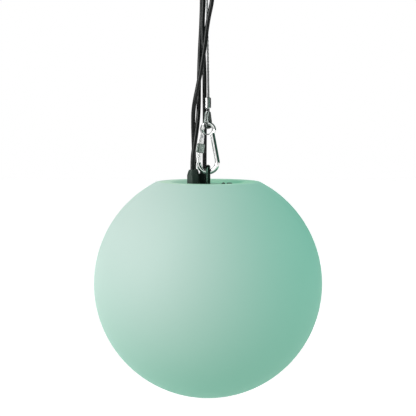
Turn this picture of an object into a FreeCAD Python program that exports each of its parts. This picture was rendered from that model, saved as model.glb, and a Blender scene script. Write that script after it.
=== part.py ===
"""Garden globe light, hung by a wire rope and a snap hook, with three leads through glands.

A milky globe with a dished top carries a round base plate. A U bolt on the plate hangs in the
snap hook, and the snap hook hangs in the lower loop of the rope. The light engine is bolted
under the plate, inside the globe. Sizes are in millimetres, +Z is up and -Y is the front.
The origin is the bearing point of the upper loop, where the whole light hangs.
"""
import FreeCAD, Part

import math
import os

# wire rope and its two loops
WIRE_LENGTH = 213.0            # bearing to bearing
ROPE_D = 3.0
LOOP_EYE_R = 4.8               # inside radius of the thimble, where the light hangs
LOOP_LEAN = 20.0               # degrees that each strand leans away from the other
LOOP_THROAT_R = 9.0            # bend of a strand where it enters the ferrule
LOWER_LOOP_YAW = 202.0         # degrees from the Y axis to the side of the dead end
UPPER_LOOP_YAW = 90.0
THIMBLE_WALL = 0.85
THIMBLE_LIP = 0.7              # how far its channel reaches past half of the rope
THIMBLE_TIP_GAP = 0.1          # from the middle of the loop to each tip of its thimble
ROPE_GAP = 0.05                # round a strand in its channel or ferrule
FERRULE_LONG = 10.5
FERRULE_SHORT = 7.5
FERRULE_LENGTH = 14.0
FERRULE_CHAMFER = 0.8

# snap hook
HOOK_ROD_D = 6.4
HOOK_REACH = 55.0              # eye centre to the rod centre at the bottom of the bowl
HOOK_BOWL_R = 12.3             # rod centre line
HOOK_LEAN = 10.5               # degrees that the long side leans from the vertical
EYE_R = 5.0                    # clear hole of the eye ring
EYE_RING_WALL = 1.8
EYE_RING_W = 5.0
EYE_RING_BULGE_R = 2.9
EYE_BAND_T = 3.7
EYE_BAND_W = 6.6
EYE_BAND_FROM = -27.0          # degrees, where the flattened band starts, right of the eye
EYE_BAND_SHORT = 19.0          # degrees from the band's left end to the gate's rivet
LEG_INTO_EYE = 0.4             # how far the long side stands clear of the eye ring's seat
GATE_PIVOT_DEG = 228.5         # where the gate's rivet lies round the eye
GATE_PIVOT_OUT = 1.0           # rivet centre beyond the band's outside
CATCH_RISE = 20.8              # catch pin above the rod centre at the bottom of the bowl
GATE_D = 6.2
GATE_PAST_PIN = 2.2            # gate beyond the catch pin
GATE_FORK_DEPTH = 4.0          # from the rivet to the bottom of the fork
GATE_CATCH_DEPTH = 6.6
TONGUE_T = 2.6
TONGUE_GAP = 0.25
HINGE_TONGUE_EDGE = 0.55       # tongue beyond half of the band, round the rivet
HINGE_TONGUE_EDGE_WEB = 0.3
HINGE_TONGUE_ROOT_DEG = 6.0    # degrees that the tongue starts inside the band
CATCH_TONGUE_W = 3.8           # near its tip
CATCH_TONGUE_FOOT_W = 4.6
CATCH_TONGUE_BEVEL = 0.8
CATCH_TONGUE_TIP_GAP = 1.0     # from its tip to the top of the gate's slot
CATCH_TONGUE_SUNK = 1.5        # how far it is rooted in the nose
CATCH_NOTCH_GAP = 0.2
CATCH_MOUTH_FLARE = 0.3
GATE_RIVET_D = 2.2
GATE_RIVET_HEAD_D = 3.4
GATE_RIVET_HEAD_T = 0.8
GATE_RIVET_SUNK = 0.55
GATE_RIVET_HEAD_GAP = 0.05
CATCH_PIN_D = 1.8
GATE_BORE_D = 2.8
GATE_SPRING_L = 6.5
GATE_SPRING_GAP = 0.1           # round it, and short of each end of its bore
GATE_SPRING_WALL = 0.5
SLEEVE_D = 10.0
SLEEVE_L = 12.0
SLEEVE_GAP = 0.12
SLEEVE_ABOVE_CATCH = 4.5
SLEEVE_GROOVE_D = 0.8
SLEEVE_GROOVES = 20
SLEEVE_GROOVE_OUT = 0.1        # groove centre beyond the sleeve's face
SLEEVE_BAND = 2.2              # plain band at each end
SLEEVE_CHAMFER = 0.7

# globe
GLOBE_D = 300.0
SHELL_WALL = 3.0
RIM_R = 68.0                   # where the sphere meets the flat of the rim
RIM_ROUND = 5.0
RECESS_R = 45.0
RECESS_ROUND = 5.0
RECESS_ROUND_INSIDE = 2.0
EQUATOR_DIP = 0.3              # radians below the equator, a middle point of the sphere
PLATE_SINK = 5.0               # plate top below the flat of the rim
SEAT_W = 9.0                   # from the recess wall to the mouth into the globe
SEAT_T = 8.0

# base plate and what fastens it
PLATE_T = 4.0
PLATE_GAP = 0.6
PLATE_CHAMFER = 0.6
HOLE_GAP = 0.15                # radial, round what passes through the plate
SMALL_HOLE_GAP = 0.1
SCREW_HOLE_GAP = 0.2
SINK_GAP = 0.05                # round a countersunk head
GASKET_T = 2.0
SCREW_COUNT = 6
SCREW_D = 4.0
SCREW_HEAD_D = 7.6
SCREW_L = 11.0
SCREW_FIRST_DEG = 15.0
SOCKET_SHARE = 0.62            # a hexagon socket's flats over the shank
SOCKET_DEEP_SHARE = 0.8        # a socket's depth over the height of its head
PAN_HEAD_SHARE = 1.8           # a pan head over its shank
INSERT_D = 5.6
INSERT_L = 6.0
INSERT_BORE_DEEPER = 1.0

# U bolt
LUG_ROD_D = 6.2
LUG_HALF_SPAN = 8.0            # leg centre from the globe's axis
LUG_SEAT_GAP = 0.3
LUG_BELOW_PLATE = 9.5
LUG_CHAMFER = 0.7
LUG_HEIGHT = 27.2              # top of the bolt above the plate
NUT_AF = 10.0
NUT_H = 5.0
NUT_CHAMFER = 0.8
WASHER_T = 1.6
WASHER_D = 12.0

# glands: all on one ring round the U bolt
GLAND_RING_R = 22.0
GLAND_DEG = {"supply": 204.0, "control_in": 147.0, "control_out": 102.0}
GLAND_AF = 14.0
GLAND_FLANGE_H = 3.6
GLAND_WASHER_T = 0.9
GLAND_THREAD_D = 12.0
GLAND_UPPER_D = 11.0
GLAND_UPPER_L = 8.0
GLAND_HEX_H = 10.4
GLAND_DOME_H = 6.1
GLAND_DOME_D = 12.9
GLAND_MOUTH_D = 8.6
GLAND_WALL = 1.1
GLAND_SLOTS = 6
GLAND_SLOT_W = 0.9
GLAND_BELOW = 9.0
LOCKNUT_H = 4.0
LOCKNUT_AF = 15.0
FIT_GAP = 0.05                 # radial running gap of a thread or a turned fit
HEX_CHAMFER_DEG = 29.0
GLAND_CHAMFER = 0.7
GLAND_RIM = 0.6                # flange inside the washer's edge, and the floor of the fingers
GLAND_SLOT_FOOT = 3.0          # slots above the cap's foot
GLAND_SEAL_OUT = 1.2           # seal above the fingers
GLAND_CAP_EDGE = 0.5
GLAND_CAP_ROOM = 1.9           # bore of the cap above the fingers
GLAND_SHOULDER = 1.0           # where the hexagon begins to turn into the dome
GLAND_SHOULDER_RISE = 0.3
GLAND_DOME_DRAW = 0.75         # how far the dome has drawn in at its middle
GLAND_DOME_MID = 0.62          # height of that middle over the dome's

# leads
LEAD_D = 5.6
LEAD_TAIL = 16.0               # lead below the plate
LEAD_RISE = 16.0               # straight stretch out of the gland
LEAD_INTO_PLUG = 16.0          # straight stretch into the connector
# each route after the rise: x, y and height above the plate, up to the bend below the plug
ROUTES = {
    "supply": [
        (-17.3, -8.8, 53.0), (-13.6, -6.6, 79.0), (-12.0, 1.4, 101.0), (-11.9, 8.2, 133.0),
        (-10.9, 15.2, 171.0), (-8.8, 21.0, 210.0), (-8.0, 27.5, 239.0),
    ],
    "control_in": [
        (-18.9, 10.6, 55.0), (-19.5, 4.6, 79.0), (-18.9, -4.4, 102.0), (-11.4, -8.5, 136.0),
        (-5.0, -8.0, 172.0), (-0.6, -8.6, 210.0), (6.2, -12.5, 239.0),
    ],
    "control_out": [
        (-4.4, 20.0, 56.0), (-4.2, 16.0, 84.0), (-4.5, 13.0, 113.0), (-4.5, 11.0, 150.0),
        (-6.6, 9.2, 186.0), (-7.0, 10.0, 214.0), (-5.5, 12.0, 239.0),
    ],
}

# connectors on the leads' upper ends
PLUG_RELIEF_L = 20.0
PLUG_RELIEF_D = 7.4
PLUG_GRIP_D = 12.4
PLUG_GRIP_L = 17.0
PLUG_NECK_D = 10.6
PLUG_NOSE_L = 13.0
PLUG_NOSE_WALL = 1.1
PLUG_INSERT_T = 3.0
PLUG_RIBS = 5                  # grooves round the relief
PLUG_RIB_GAP = 1.3             # width of a groove
PLUG_RIB_FIRST = 2.4
PLUG_RIB_LAST = 1.6            # plain relief above the last step
PLUG_RIB_DEEP = 0.7
PLUG_EDGE = 0.8
PLUG_FOOT_EDGE = 0.5
PLUG_STEP = 1.6                # grip beyond the relief's top
PLUG_CONTACTS = 4
RING_D = 14.6
RING_L = 11.0
RING_GAP = 0.15
RING_GROOVES = 12
RING_GROOVE_D = 1.4
RING_GROOVE_OUT = 0.25         # groove centre beyond the ring's face
RING_EDGE = 0.6
RING_LIP_L = 2.0               # collar at its foot
RING_THREAD_DEEP = 0.8
RING_LIFT = 0.3                # above the grip
PIN_TIP_SHARE = 0.3            # a contact's chamfer over its diameter
PIN_D = 1.3
PIN_L = 6.5
PIN_RING_R = 2.4

# sensor window and vent on the plate
WINDOW_AT = (20.5, 8.0)
WINDOW_D = 5.6
WINDOW_BEZEL_D = 8.4
WINDOW_H = 3.4
WINDOW_BEZEL_H = 1.2
WINDOW_BEZEL_EDGE = 0.4
VENT_AT = (28.5, 13.5)
VENT_D = 7.6
VENT_H = 2.6
VENT_SHANK_D = 5.0
VENT_SHANK_BELOW = 2.0         # shank below the plate
VENT_EDGE = 0.6
VENT_BORE_R = 1.0
VENT_CAP_T = 1.2

# light engine inside the globe
PILLAR_COUNT = 3
PILLAR_RING_R = 29.0
PILLAR_AF = 7.0
PILLAR_L = 30.0
PILLAR_FIRST_DEG = 55.0
PILLAR_SCREW_D = 3.0
PILLAR_SCREW_HEAD_D = 5.7
PILLAR_PAN_H = 2.0
PILLAR_SCREW_GRIP = 8.0        # thread in the pillar
CARRIER_R = 33.5
CARRIER_T = 3.0
CARRIER_WIRE_HOLE_D = 9.0
CARRIER_WIRE_HOLE_X = -14.0
POST_AF = 44.0
POST_WALL = 2.5
POST_L = 84.0
POST_FACES = 6
FIN_DEEP = 3.5
FIN_T = 1.6
FIN_ROOT = 0.1                 # how far a fin is rooted in its wall
BOARD_W = 20.0
BOARD_L = 76.0
BOARD_T = 1.6
CHIP_W = 5.0
CHIP_T = 1.4
CHIPS_PER_BOARD = 5
END_BOARD_R = 17.0
END_CHIPS_FROM = 9.0           # from the axis to the near side of a chip
DRIVER_W = 24.0
DRIVER_D = 26.0
DRIVER_H = 56.0
DRIVER_ROUND = 3.0
CONTROL_W = 32.0
CONTROL_D = 22.0
CONTROL_X = -8.0               # the board's edge nearest to the leads
CONTROL_T = 1.6
CONTROL_SCREW_D = 2.5
CONTROL_SCREW_INSET = 2.6
CONTROL_PAN_H = 1.5
CONTROL_CHIP_W = 8.0
CONTROL_CHIP_H = 1.8
RECEIVER_D = 4.6
RECEIVER_GAP = 1.0             # below the plate
TERMINAL_W = 8.0
TERMINAL_PITCH = 3.5
TERMINAL_H = 10.0
TERMINAL_WAYS = 5
TERMINAL_INSET = 6.0           # from the board's edge
TERMINAL_SCREW_D = 2.2
TERMINAL_SCREW_DEEP = 6.0
TERMINAL_SCREW_X = 5.0
TERMINAL_ENTRY_D = 2.0
TERMINAL_ENTRY_DEEP = 5.0
TERMINAL_ENTRY_Z = 2.4

# places that follow from the sizes above, in the order in which the light hangs
HOOK_EYE_Z = -WIRE_LENGTH + LUG_SEAT_GAP - EYE_R
HOOK_ROD_Z = HOOK_EYE_Z - HOOK_REACH
LUG_TOP_Z = HOOK_ROD_Z + HOOK_ROD_D / 2 + LUG_SEAT_GAP + LUG_ROD_D
PLATE_Z = LUG_TOP_Z - LUG_HEIGHT
RIM_Z = PLATE_Z + PLATE_SINK
GLOBE_R = GLOBE_D / 2
RIM_ABOVE_CENTRE = math.sqrt(GLOBE_R ** 2 - RIM_R ** 2)
GLOBE_Z = RIM_Z - RIM_ABOVE_CENTRE
PLATE_UNDER_Z = PLATE_Z - PLATE_T
SEAT_Z = PLATE_UNDER_Z - GASKET_T
MOUTH_R = RECESS_R - SEAT_W
SCREW_RING_R = RECESS_R - SEAT_W / 2

X_AXIS = FreeCAD.Vector(1, 0, 0)
Y_AXIS = FreeCAD.Vector(0, 1, 0)
Z_AXIS = FreeCAD.Vector(0, 0, 1)
HERE = FreeCAD.Vector(0, 0, 0)


def vec(x, y, z):
    return FreeCAD.Vector(x, y, z)


def polar(radius, degrees, z=0.0):
    turn = math.radians(degrees)
    return vec(radius * math.cos(turn), radius * math.sin(turn), z)


def outline(start, *steps):
    """A closed face in the XZ plane: a step is an end point, or (middle, end) for an arc."""
    here = vec(start[0], 0, start[1])
    edges = []
    for step in steps + (start,):
        arc = isinstance(step[0], tuple)
        end = step[1] if arc else step
        there = vec(end[0], 0, end[1])
        if arc:
            middle = vec(step[0][0], 0, step[0][1])
            edges.append(Part.Arc(here, middle, there).toShape())
        elif here.distanceToPoint(there) > 1e-6:
            edges.append(Part.makeLine(here, there))
        here = there
    return Part.Face(Part.Wire(edges))


def spun(face, at=HERE):
    """The face turned once round the vertical line through at."""
    solid = face.revolve(HERE, Z_AXIS, 360)
    solid.translate(at)
    return solid


def rod(diameter, length, at, axis=Z_AXIS):
    return Part.makeCylinder(diameter / 2, length, at, axis)


def tube(outer, inner, length, at):
    return rod(outer, length, at).cut(rod(inner, length, at))


def hexagon(across_flats, height, at, chamfer=0.0):
    """A hexagonal bar with its flats facing +X and -X, and its corners turned down."""
    corner = across_flats / math.sqrt(3)
    points = [at + polar(corner, 30 + 60 * n) for n in range(7)]
    bar = Part.Face(Part.makePolygon(points)).extrude(vec(0, 0, height))
    if chamfer:
        drop = chamfer * math.tan(math.radians(HEX_CHAMFER_DEG))
        turned = outline(
            (0, 0), (corner - chamfer, 0), (corner, drop), (corner, height - drop),
            (corner - chamfer, height), (0, height),
        )
        bar = bar.common(spun(turned, at))
    return bar


def group(solids):
    return Part.makeCompound(solids)


def route_wire(points):
    """Straight runs joined by tangent arcs, as large as the shorter run beside each allows."""
    points = [FreeCAD.Vector(*p) for p in points]
    edges = []
    radii = []
    here = points[0]
    for before, corner, after in zip(points, points[1:], points[2:]):
        come = (corner - before).normalize()
        leave = (after - corner).normalize()
        turn = come.getAngle(leave)
        reach = 0.45 * min(corner.distanceToPoint(before), after.distanceToPoint(corner))
        radius = reach / math.tan(turn / 2)
        start = corner - come * reach
        end = corner + leave * reach
        inward = (leave - come).normalize()
        to_middle = radius / math.cos(turn / 2) - radius
        edges.append(Part.makeLine(here, start))
        edges.append(Part.Arc(start, corner + inward * to_middle, end).toShape())
        radii.append(radius)
        here = end
    edges.append(Part.makeLine(here, points[-1]))
    return Part.Wire(edges), radii


def swept(wire, radius):
    first = wire.OrderedEdges[0]
    start = first.valueAt(first.FirstParameter)
    along = first.tangentAt(first.FirstParameter)
    ring = Part.Wire(Part.Circle(start, along, radius).toShape())
    return Part.Wire(wire).makePipeShell([ring], True, True)


# ---------------------------------------------------------------- wire rope and loops

STRAND_GAP = ROPE_D / 2 + ROPE_GAP
CHANNEL_R = ROPE_D / 2 + ROPE_GAP
BIGHT_R = LOOP_EYE_R + THIMBLE_WALL + CHANNEL_R


def loop_plan():
    """Heights and widths of one loop, measured from its bearing point towards its ferrule."""
    lean = math.radians(LOOP_LEAN)
    over = BIGHT_R * math.cos(lean) - LOOP_THROAT_R * (1 - math.cos(lean)) - STRAND_GAP
    straight = over / math.sin(lean)
    centre = LOOP_EYE_R
    side = (BIGHT_R * math.cos(lean), centre + BIGHT_R * math.sin(lean))
    bend = (
        side[0] - straight * math.sin(lean),
        side[1] + straight * math.cos(lean),
    )
    ferrule = bend[1] + LOOP_THROAT_R * math.sin(lean)
    return {"centre": centre, "side": side, "bend": bend, "ferrule": ferrule}


PLAN = loop_plan()
FERRULE_FROM_BEARING = PLAN["ferrule"]


def in_loop(u, height, yaw, bearing_z, way):
    """A point of a loop: u across it, height from its bearing point towards the ferrule."""
    turn = math.radians(yaw)
    return vec(u * math.sin(turn), u * math.cos(turn), bearing_z + way * height)


def loop_edges(yaw, bearing_z, way):
    """The rope round one thimble, from the standing strand to the dead end in the ferrule."""
    lean = math.radians(LOOP_LEAN)
    throat_mid = (
        STRAND_GAP + LOOP_THROAT_R * (1 - math.cos(lean / 2)),
        PLAN["ferrule"] - LOOP_THROAT_R * math.sin(lean / 2),
    )

    def at(u, height):
        return in_loop(u, height, yaw, bearing_z, way)

    mouth = (STRAND_GAP, PLAN["ferrule"])
    bend = PLAN["bend"]
    side = PLAN["side"]
    bottom = PLAN["centre"] - BIGHT_R
    dead_end = PLAN["ferrule"] + FERRULE_LENGTH
    return [
        Part.Arc(at(-mouth[0], mouth[1]), at(-throat_mid[0], throat_mid[1]),
                 at(-bend[0], bend[1])).toShape(),
        Part.makeLine(at(-bend[0], bend[1]), at(-side[0], side[1])),
        Part.Arc(at(-side[0], side[1]), at(0, bottom), at(side[0], side[1])).toShape(),
        Part.makeLine(at(side[0], side[1]), at(bend[0], bend[1])),
        Part.Arc(at(bend[0], bend[1]), at(throat_mid[0], throat_mid[1]),
                 at(mouth[0], mouth[1])).toShape(),
        Part.makeLine(at(mouth[0], mouth[1]), at(STRAND_GAP, dead_end)),
    ]


LOOPS = {
    "lower": (LOWER_LOOP_YAW, -WIRE_LENGTH, 1),
    "upper": (UPPER_LOOP_YAW, 0.0, -1),
}


def wire_rope():
    """One rope: dead end, lower loop, standing part, upper loop, dead end."""
    edges = []
    for name in ("lower", "upper"):
        edges += loop_edges(*LOOPS[name])
    corners = []
    for height in (FERRULE_FROM_BEARING, FERRULE_FROM_BEARING + FERRULE_LENGTH):
        corners.append([in_loop(-STRAND_GAP, height, *LOOPS[n]) for n in ("lower", "upper")])
    (low_mouth, high_mouth), (foot, head) = corners
    edges.append(Part.makeLine(low_mouth, foot))
    edges.append(Part.makeLine(foot, head))
    edges.append(Part.makeLine(head, high_mouth))
    wire = Part.Wire(Part.sortEdges(edges)[0])
    dead = in_loop(STRAND_GAP, FERRULE_FROM_BEARING + FERRULE_LENGTH, *LOOPS["lower"])
    ring = Part.Wire(Part.Circle(dead, Z_AXIS, ROPE_D / 2).toShape())
    rope = wire.makePipeShell([ring], True, True)
    section = math.pi * ROPE_D ** 2 / 4
    print("wire rope: length", round(wire.Length, 1),
          "volume over section times length", round(rope.Volume / section / wire.Length, 4))
    return rope


def thimble(yaw, bearing_z, way):
    """A teardrop channel of half-round section that lines the loop."""
    lean = math.radians(LOOP_LEAN)
    skin_r = CHANNEL_R + THIMBLE_WALL
    side = PLAN["side"]
    tip_u = (skin_r + THIMBLE_TIP_GAP) / math.cos(lean)
    straight = (side[0] - tip_u) / math.sin(lean)
    tip = (tip_u, side[1] + straight * math.cos(lean))

    def at(u, height):
        return in_loop(u, height, yaw, bearing_z, way)

    wire = Part.Wire([
        Part.makeLine(at(-tip[0], tip[1]), at(-side[0], side[1])),
        Part.Arc(at(-side[0], side[1]), at(0, PLAN["centre"] - BIGHT_R),
                 at(side[0], side[1])).toShape(),
        Part.makeLine(at(side[0], side[1]), at(tip[0], tip[1])),
    ])
    start = at(-tip[0], tip[1])
    along = (at(-side[0], side[1]) - start).normalize()
    wide = in_loop(1, 0, yaw, 0, 1).cross(Z_AXIS).normalize()
    inward = along.cross(wide).normalize()
    if inward.dot(at(0, PLAN["centre"]) - start) < 0:
        inward = inward * -1
    lips = [start - inward * THIMBLE_LIP + wide * (skin_r * n) for n in (-1, 1)]
    skin = [start + wide * (skin_r * n) for n in (-1, 1)]
    floor = [start + wide * (CHANNEL_R * n) for n in (-1, 1)]
    groove = [start - inward * THIMBLE_LIP + wide * (CHANNEL_R * n) for n in (-1, 1)]
    section = Part.Wire([
        Part.makeLine(lips[0], skin[0]),
        Part.Arc(skin[0], start + inward * skin_r, skin[1]).toShape(),
        Part.makeLine(skin[1], lips[1]),
        Part.makeLine(lips[1], groove[1]),
        Part.makeLine(groove[1], floor[1]),
        Part.Arc(floor[1], start + inward * CHANNEL_R, floor[0]).toShape(),
        Part.makeLine(floor[0], groove[0]),
        Part.makeLine(groove[0], lips[0]),
    ])
    return wire.makePipeShell([section], True, True)


def ferrule(yaw, bearing_z, way):
    """A pressed oval sleeve on the two strands, with its edges broken."""
    long_r = FERRULE_LONG / 2
    short_r = FERRULE_SHORT / 2
    low = min(
        bearing_z + way * FERRULE_FROM_BEARING,
        bearing_z + way * (FERRULE_FROM_BEARING + FERRULE_LENGTH),
    )
    edge = Part.Ellipse(vec(0, 0, low), long_r, short_r).toShape()
    body = Part.Face(Part.Wire(edge)).extrude(vec(0, 0, FERRULE_LENGTH))
    body = body.makeChamfer(FERRULE_CHAMFER, [e for e in body.Edges if len(e.Vertexes) == 1])
    body.rotate(vec(0, 0, low), Z_AXIS, 90 - yaw)
    for side in (-1, 1):
        foot = in_loop(side * STRAND_GAP, 0, yaw, low, 1)
        body = body.cut(rod(ROPE_D, FERRULE_LENGTH, foot))
    return body


# ---------------------------------------------------------------- snap hook

EYE_SEAT_R = EYE_R + EYE_RING_WALL
BAND_R = EYE_SEAT_R + EYE_BAND_T / 2
BOWL_Z = HOOK_ROD_Z + HOOK_BOWL_R
EYE_BAND_TO = GATE_PIVOT_DEG - EYE_BAND_SHORT


def gate_plan():
    """The gate's axis: from its rivet, along the line that touches the bowl's rod centre."""
    out = EYE_SEAT_R + EYE_BAND_T + GATE_PIVOT_OUT
    turn = math.radians(GATE_PIVOT_DEG)
    pivot = vec(out * math.cos(turn), 0, HOOK_EYE_Z + out * math.sin(turn))
    apart = math.hypot(pivot.x, pivot.z - BOWL_Z)
    lean = math.asin(HOOK_BOWL_R / apart) - math.atan2(-pivot.x, pivot.z - BOWL_Z)
    way = vec(-math.sin(lean), 0, -math.cos(lean))
    catch = pivot + way * ((pivot.z - HOOK_ROD_Z - CATCH_RISE) / math.cos(lean))
    return pivot, way, catch, math.degrees(lean)


PIVOT, GATE_WAY, CATCH, GATE_LEAN = gate_plan()
GATE_SIDE = vec(-GATE_WAY.z, 0, GATE_WAY.x)
GATE_LENGTH = PIVOT.distanceToPoint(CATCH)
SLEEVE_FROM_PIVOT = GATE_LENGTH - SLEEVE_ABOVE_CATCH - SLEEVE_L


def on_gate(along, side=0.0, y=0.0):
    """A point on the gate: along it from the pivot, and to the inner side of it."""
    return PIVOT + GATE_WAY * along + GATE_SIDE * side + Y_AXIS * y


def bowl_point(degrees, radius=HOOK_BOWL_R):
    turn = math.radians(degrees)
    return vec(radius * math.cos(turn), 0, BOWL_Z + radius * math.sin(turn))


def eye_band():
    """The flattened end of the rod, bent round the eye ring."""
    start = math.radians(EYE_BAND_FROM)
    out = vec(math.cos(start), 0, math.sin(start))
    centre = vec(0, 0, HOOK_EYE_Z)
    middle = math.radians((EYE_BAND_FROM + EYE_BAND_TO) / 2)
    end = math.radians(EYE_BAND_TO)
    path = Part.Wire(Part.Arc(
        centre + out * BAND_R,
        centre + vec(math.cos(middle), 0, math.sin(middle)) * BAND_R,
        centre + vec(math.cos(end), 0, math.sin(end)) * BAND_R,
    ).toShape())
    half = EYE_BAND_T / 2
    flat = EYE_BAND_W / 2 - half
    at = centre + out * BAND_R
    section = Part.Wire([
        Part.makeLine(at + out * half - Y_AXIS * flat, at + out * half + Y_AXIS * flat),
        Part.Arc(at + out * half + Y_AXIS * flat, at + Y_AXIS * (flat + half),
                 at - out * half + Y_AXIS * flat).toShape(),
        Part.makeLine(at - out * half + Y_AXIS * flat, at - out * half - Y_AXIS * flat),
        Part.Arc(at - out * half - Y_AXIS * flat, at - Y_AXIS * (flat + half),
                 at + out * half - Y_AXIS * flat).toShape(),
    ])
    return path.makePipeShell([section], True, True)


def hook_body():
    """One bent rod: eye band, long side, bowl and nose, with a tongue at each end of the gate."""
    lean = math.radians(HOOK_LEAN)
    low = bowl_point(HOOK_LEAN)
    top_z = HOOK_EYE_Z - LEG_INTO_EYE
    high = vec(low.x - (top_z - low.z) * math.tan(lean), 0, top_z)
    nose_end = on_gate(GATE_LENGTH + GATE_PAST_PIN + TONGUE_GAP)
    nose_start = bowl_point(180 - GATE_LEAN)
    path = Part.Wire([
        Part.makeLine(high, low),
        Part.Arc(low, bowl_point(-90 + HOOK_LEAN / 2), nose_start).toShape(),
        Part.makeLine(nose_start, nose_end),
    ])
    along = (low - high).normalize()
    ring = Part.Wire(Part.Circle(high, along, HOOK_ROD_D / 2).toShape())
    bent = path.makePipeShell([ring], True, False)
    seat = Part.makeCylinder(
        EYE_SEAT_R, EYE_BAND_W * 2, vec(0, -EYE_BAND_W, HOOK_EYE_Z), Y_AXIS)
    body = bent.fuse([eye_band(), hinge_tongue(), catch_tongue()]).cut(seat)
    body = body.cut(rivet_hole())
    return body.removeSplitter()


def slab(points, thickness):
    """A flat tongue in the XZ plane, thickness across Y."""
    flat = Part.Face(Part.makePolygon(points + points[:1]))
    flat.translate(Y_AXIS * (-thickness / 2))
    return flat.extrude(Y_AXIS * thickness)


def hinge_tongue():
    """From the band's left end down into the gate's fork, round at the rivet."""
    half = EYE_BAND_T / 2
    end = math.radians(EYE_BAND_TO - HINGE_TONGUE_ROOT_DEG)
    out = vec(math.cos(end), 0, math.sin(end))
    root = vec(0, 0, HOOK_EYE_Z)
    disc = Part.makeCylinder(half + HINGE_TONGUE_EDGE, TONGUE_T, PIVOT - Y_AXIS * (TONGUE_T / 2), Y_AXIS)
    web = slab([
        root + out * (BAND_R + half), root + out * (BAND_R - half),
        on_gate(0, half + HINGE_TONGUE_EDGE_WEB), on_gate(0, -half - HINGE_TONGUE_EDGE_WEB),
    ], TONGUE_T)
    return disc.fuse(web)


def rivet_hole():
    return rod(GATE_RIVET_D, TONGUE_T * 2, PIVOT - Y_AXIS * TONGUE_T, Y_AXIS)


def catch_tongue():
    """The hooked tip on the nose: it lies in the gate's slot, behind the catch pin."""
    tip = GATE_LENGTH - GATE_CATCH_DEPTH + GATE_PAST_PIN + CATCH_TONGUE_TIP_GAP
    foot = GATE_LENGTH + GATE_PAST_PIN + CATCH_TONGUE_SUNK
    side = CATCH_TONGUE_W / 2
    root = CATCH_TONGUE_FOOT_W / 2
    body = slab([
        on_gate(tip, -side), on_gate(tip, side - CATCH_TONGUE_BEVEL),
        on_gate(tip + CATCH_TONGUE_BEVEL, side), on_gate(foot, root), on_gate(foot, -root),
    ], TONGUE_T)
    notch_r = CATCH_PIN_D / 2 + CATCH_NOTCH_GAP
    mouth_r = notch_r + CATCH_MOUTH_FLARE
    past = root + GATE_D / 4
    notch = Part.makeCylinder(notch_r, TONGUE_T * 2, CATCH - Y_AXIS * TONGUE_T, Y_AXIS)
    way_in = slab([
        on_gate(GATE_LENGTH - notch_r, 0), on_gate(GATE_LENGTH - mouth_r, past),
        on_gate(GATE_LENGTH + mouth_r, past), on_gate(GATE_LENGTH + notch_r, 0),
    ], TONGUE_T * 2)
    return body.cut([notch, way_in])


def eye_ring():
    """The closed ring pressed into the eye, rounded inside where the rope's loop bears."""
    half = EYE_RING_W / 2
    sag = EYE_RING_BULGE_R - math.sqrt(EYE_RING_BULGE_R ** 2 - half ** 2)
    profile = outline(
        (EYE_SEAT_R, -half), (EYE_R + sag, -half), ((EYE_R, 0), (EYE_R + sag, half)),
        (EYE_SEAT_R, half),
    )
    ring = profile.revolve(HERE, Z_AXIS, 360)
    ring.rotate(HERE, X_AXIS, 90)
    ring.translate(vec(0, 0, HOOK_EYE_Z))
    return ring


def gate_arm():
    """A turned bar, forked at the hinge, slotted at the catch and bored for its spring."""
    back = GATE_D / 2
    total = GATE_LENGTH + GATE_PAST_PIN + back
    bar = rod(GATE_D, total, on_gate(-back), GATE_WAY)
    round_end = Part.makeCylinder(back, GATE_D, PIVOT - Y_AXIS * (GATE_D / 2), Y_AXIS)
    lower = rod(GATE_D, GATE_LENGTH + GATE_PAST_PIN, PIVOT, GATE_WAY)
    bar = bar.common(round_end.fuse(lower))
    gap = TONGUE_T + 2 * TONGUE_GAP
    fork = slab([
        on_gate(-2 * back, -2 * back), on_gate(-2 * back, 2 * back),
        on_gate(GATE_FORK_DEPTH, 2 * back), on_gate(GATE_FORK_DEPTH, -2 * back),
    ], gap)
    slot_top = GATE_LENGTH + GATE_PAST_PIN - GATE_CATCH_DEPTH
    slot_end = GATE_LENGTH + GATE_PAST_PIN + 1
    slot = slab([
        on_gate(slot_top, -2 * back), on_gate(slot_top, 2 * back),
        on_gate(slot_end, 2 * back), on_gate(slot_end, -2 * back),
    ], gap)
    spring_bore = rod(GATE_BORE_D, GATE_SPRING_L, on_gate(GATE_FORK_DEPTH), GATE_WAY)
    pin_hole = rod(CATCH_PIN_D, 2 * GATE_D, CATCH - Y_AXIS * GATE_D, Y_AXIS)
    rivet = rod(GATE_RIVET_D, 2 * GATE_D, PIVOT - Y_AXIS * GATE_D, Y_AXIS)
    recesses = [
        rod(GATE_RIVET_HEAD_D + 2 * GATE_RIVET_HEAD_GAP, GATE_D, face, Y_AXIS * side)
        for side, face in rivet_faces()
    ]
    return bar.cut([fork, slot, spring_bore, pin_hole, rivet] + recesses)


def rivet_faces():
    """Where the rivet's two heads sit in the sides of the gate."""
    deep = GATE_D / 2 - GATE_RIVET_SUNK
    return [(side, PIVOT + Y_AXIS * (side * deep)) for side in (-1, 1)]


def gate_rivet():
    pin = rod(GATE_RIVET_D, GATE_D, PIVOT - Y_AXIS * (GATE_D / 2), Y_AXIS)
    heads = [
        rod(GATE_RIVET_HEAD_D, GATE_RIVET_HEAD_T, face, Y_AXIS * side)
        for side, face in rivet_faces()
    ]
    return pin.fuse(heads)


def catch_pin():
    """The pin across the gate's lower end, flush with its sides."""
    return rod(CATCH_PIN_D, GATE_D, CATCH - Y_AXIS * (GATE_D / 2), Y_AXIS)


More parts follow.
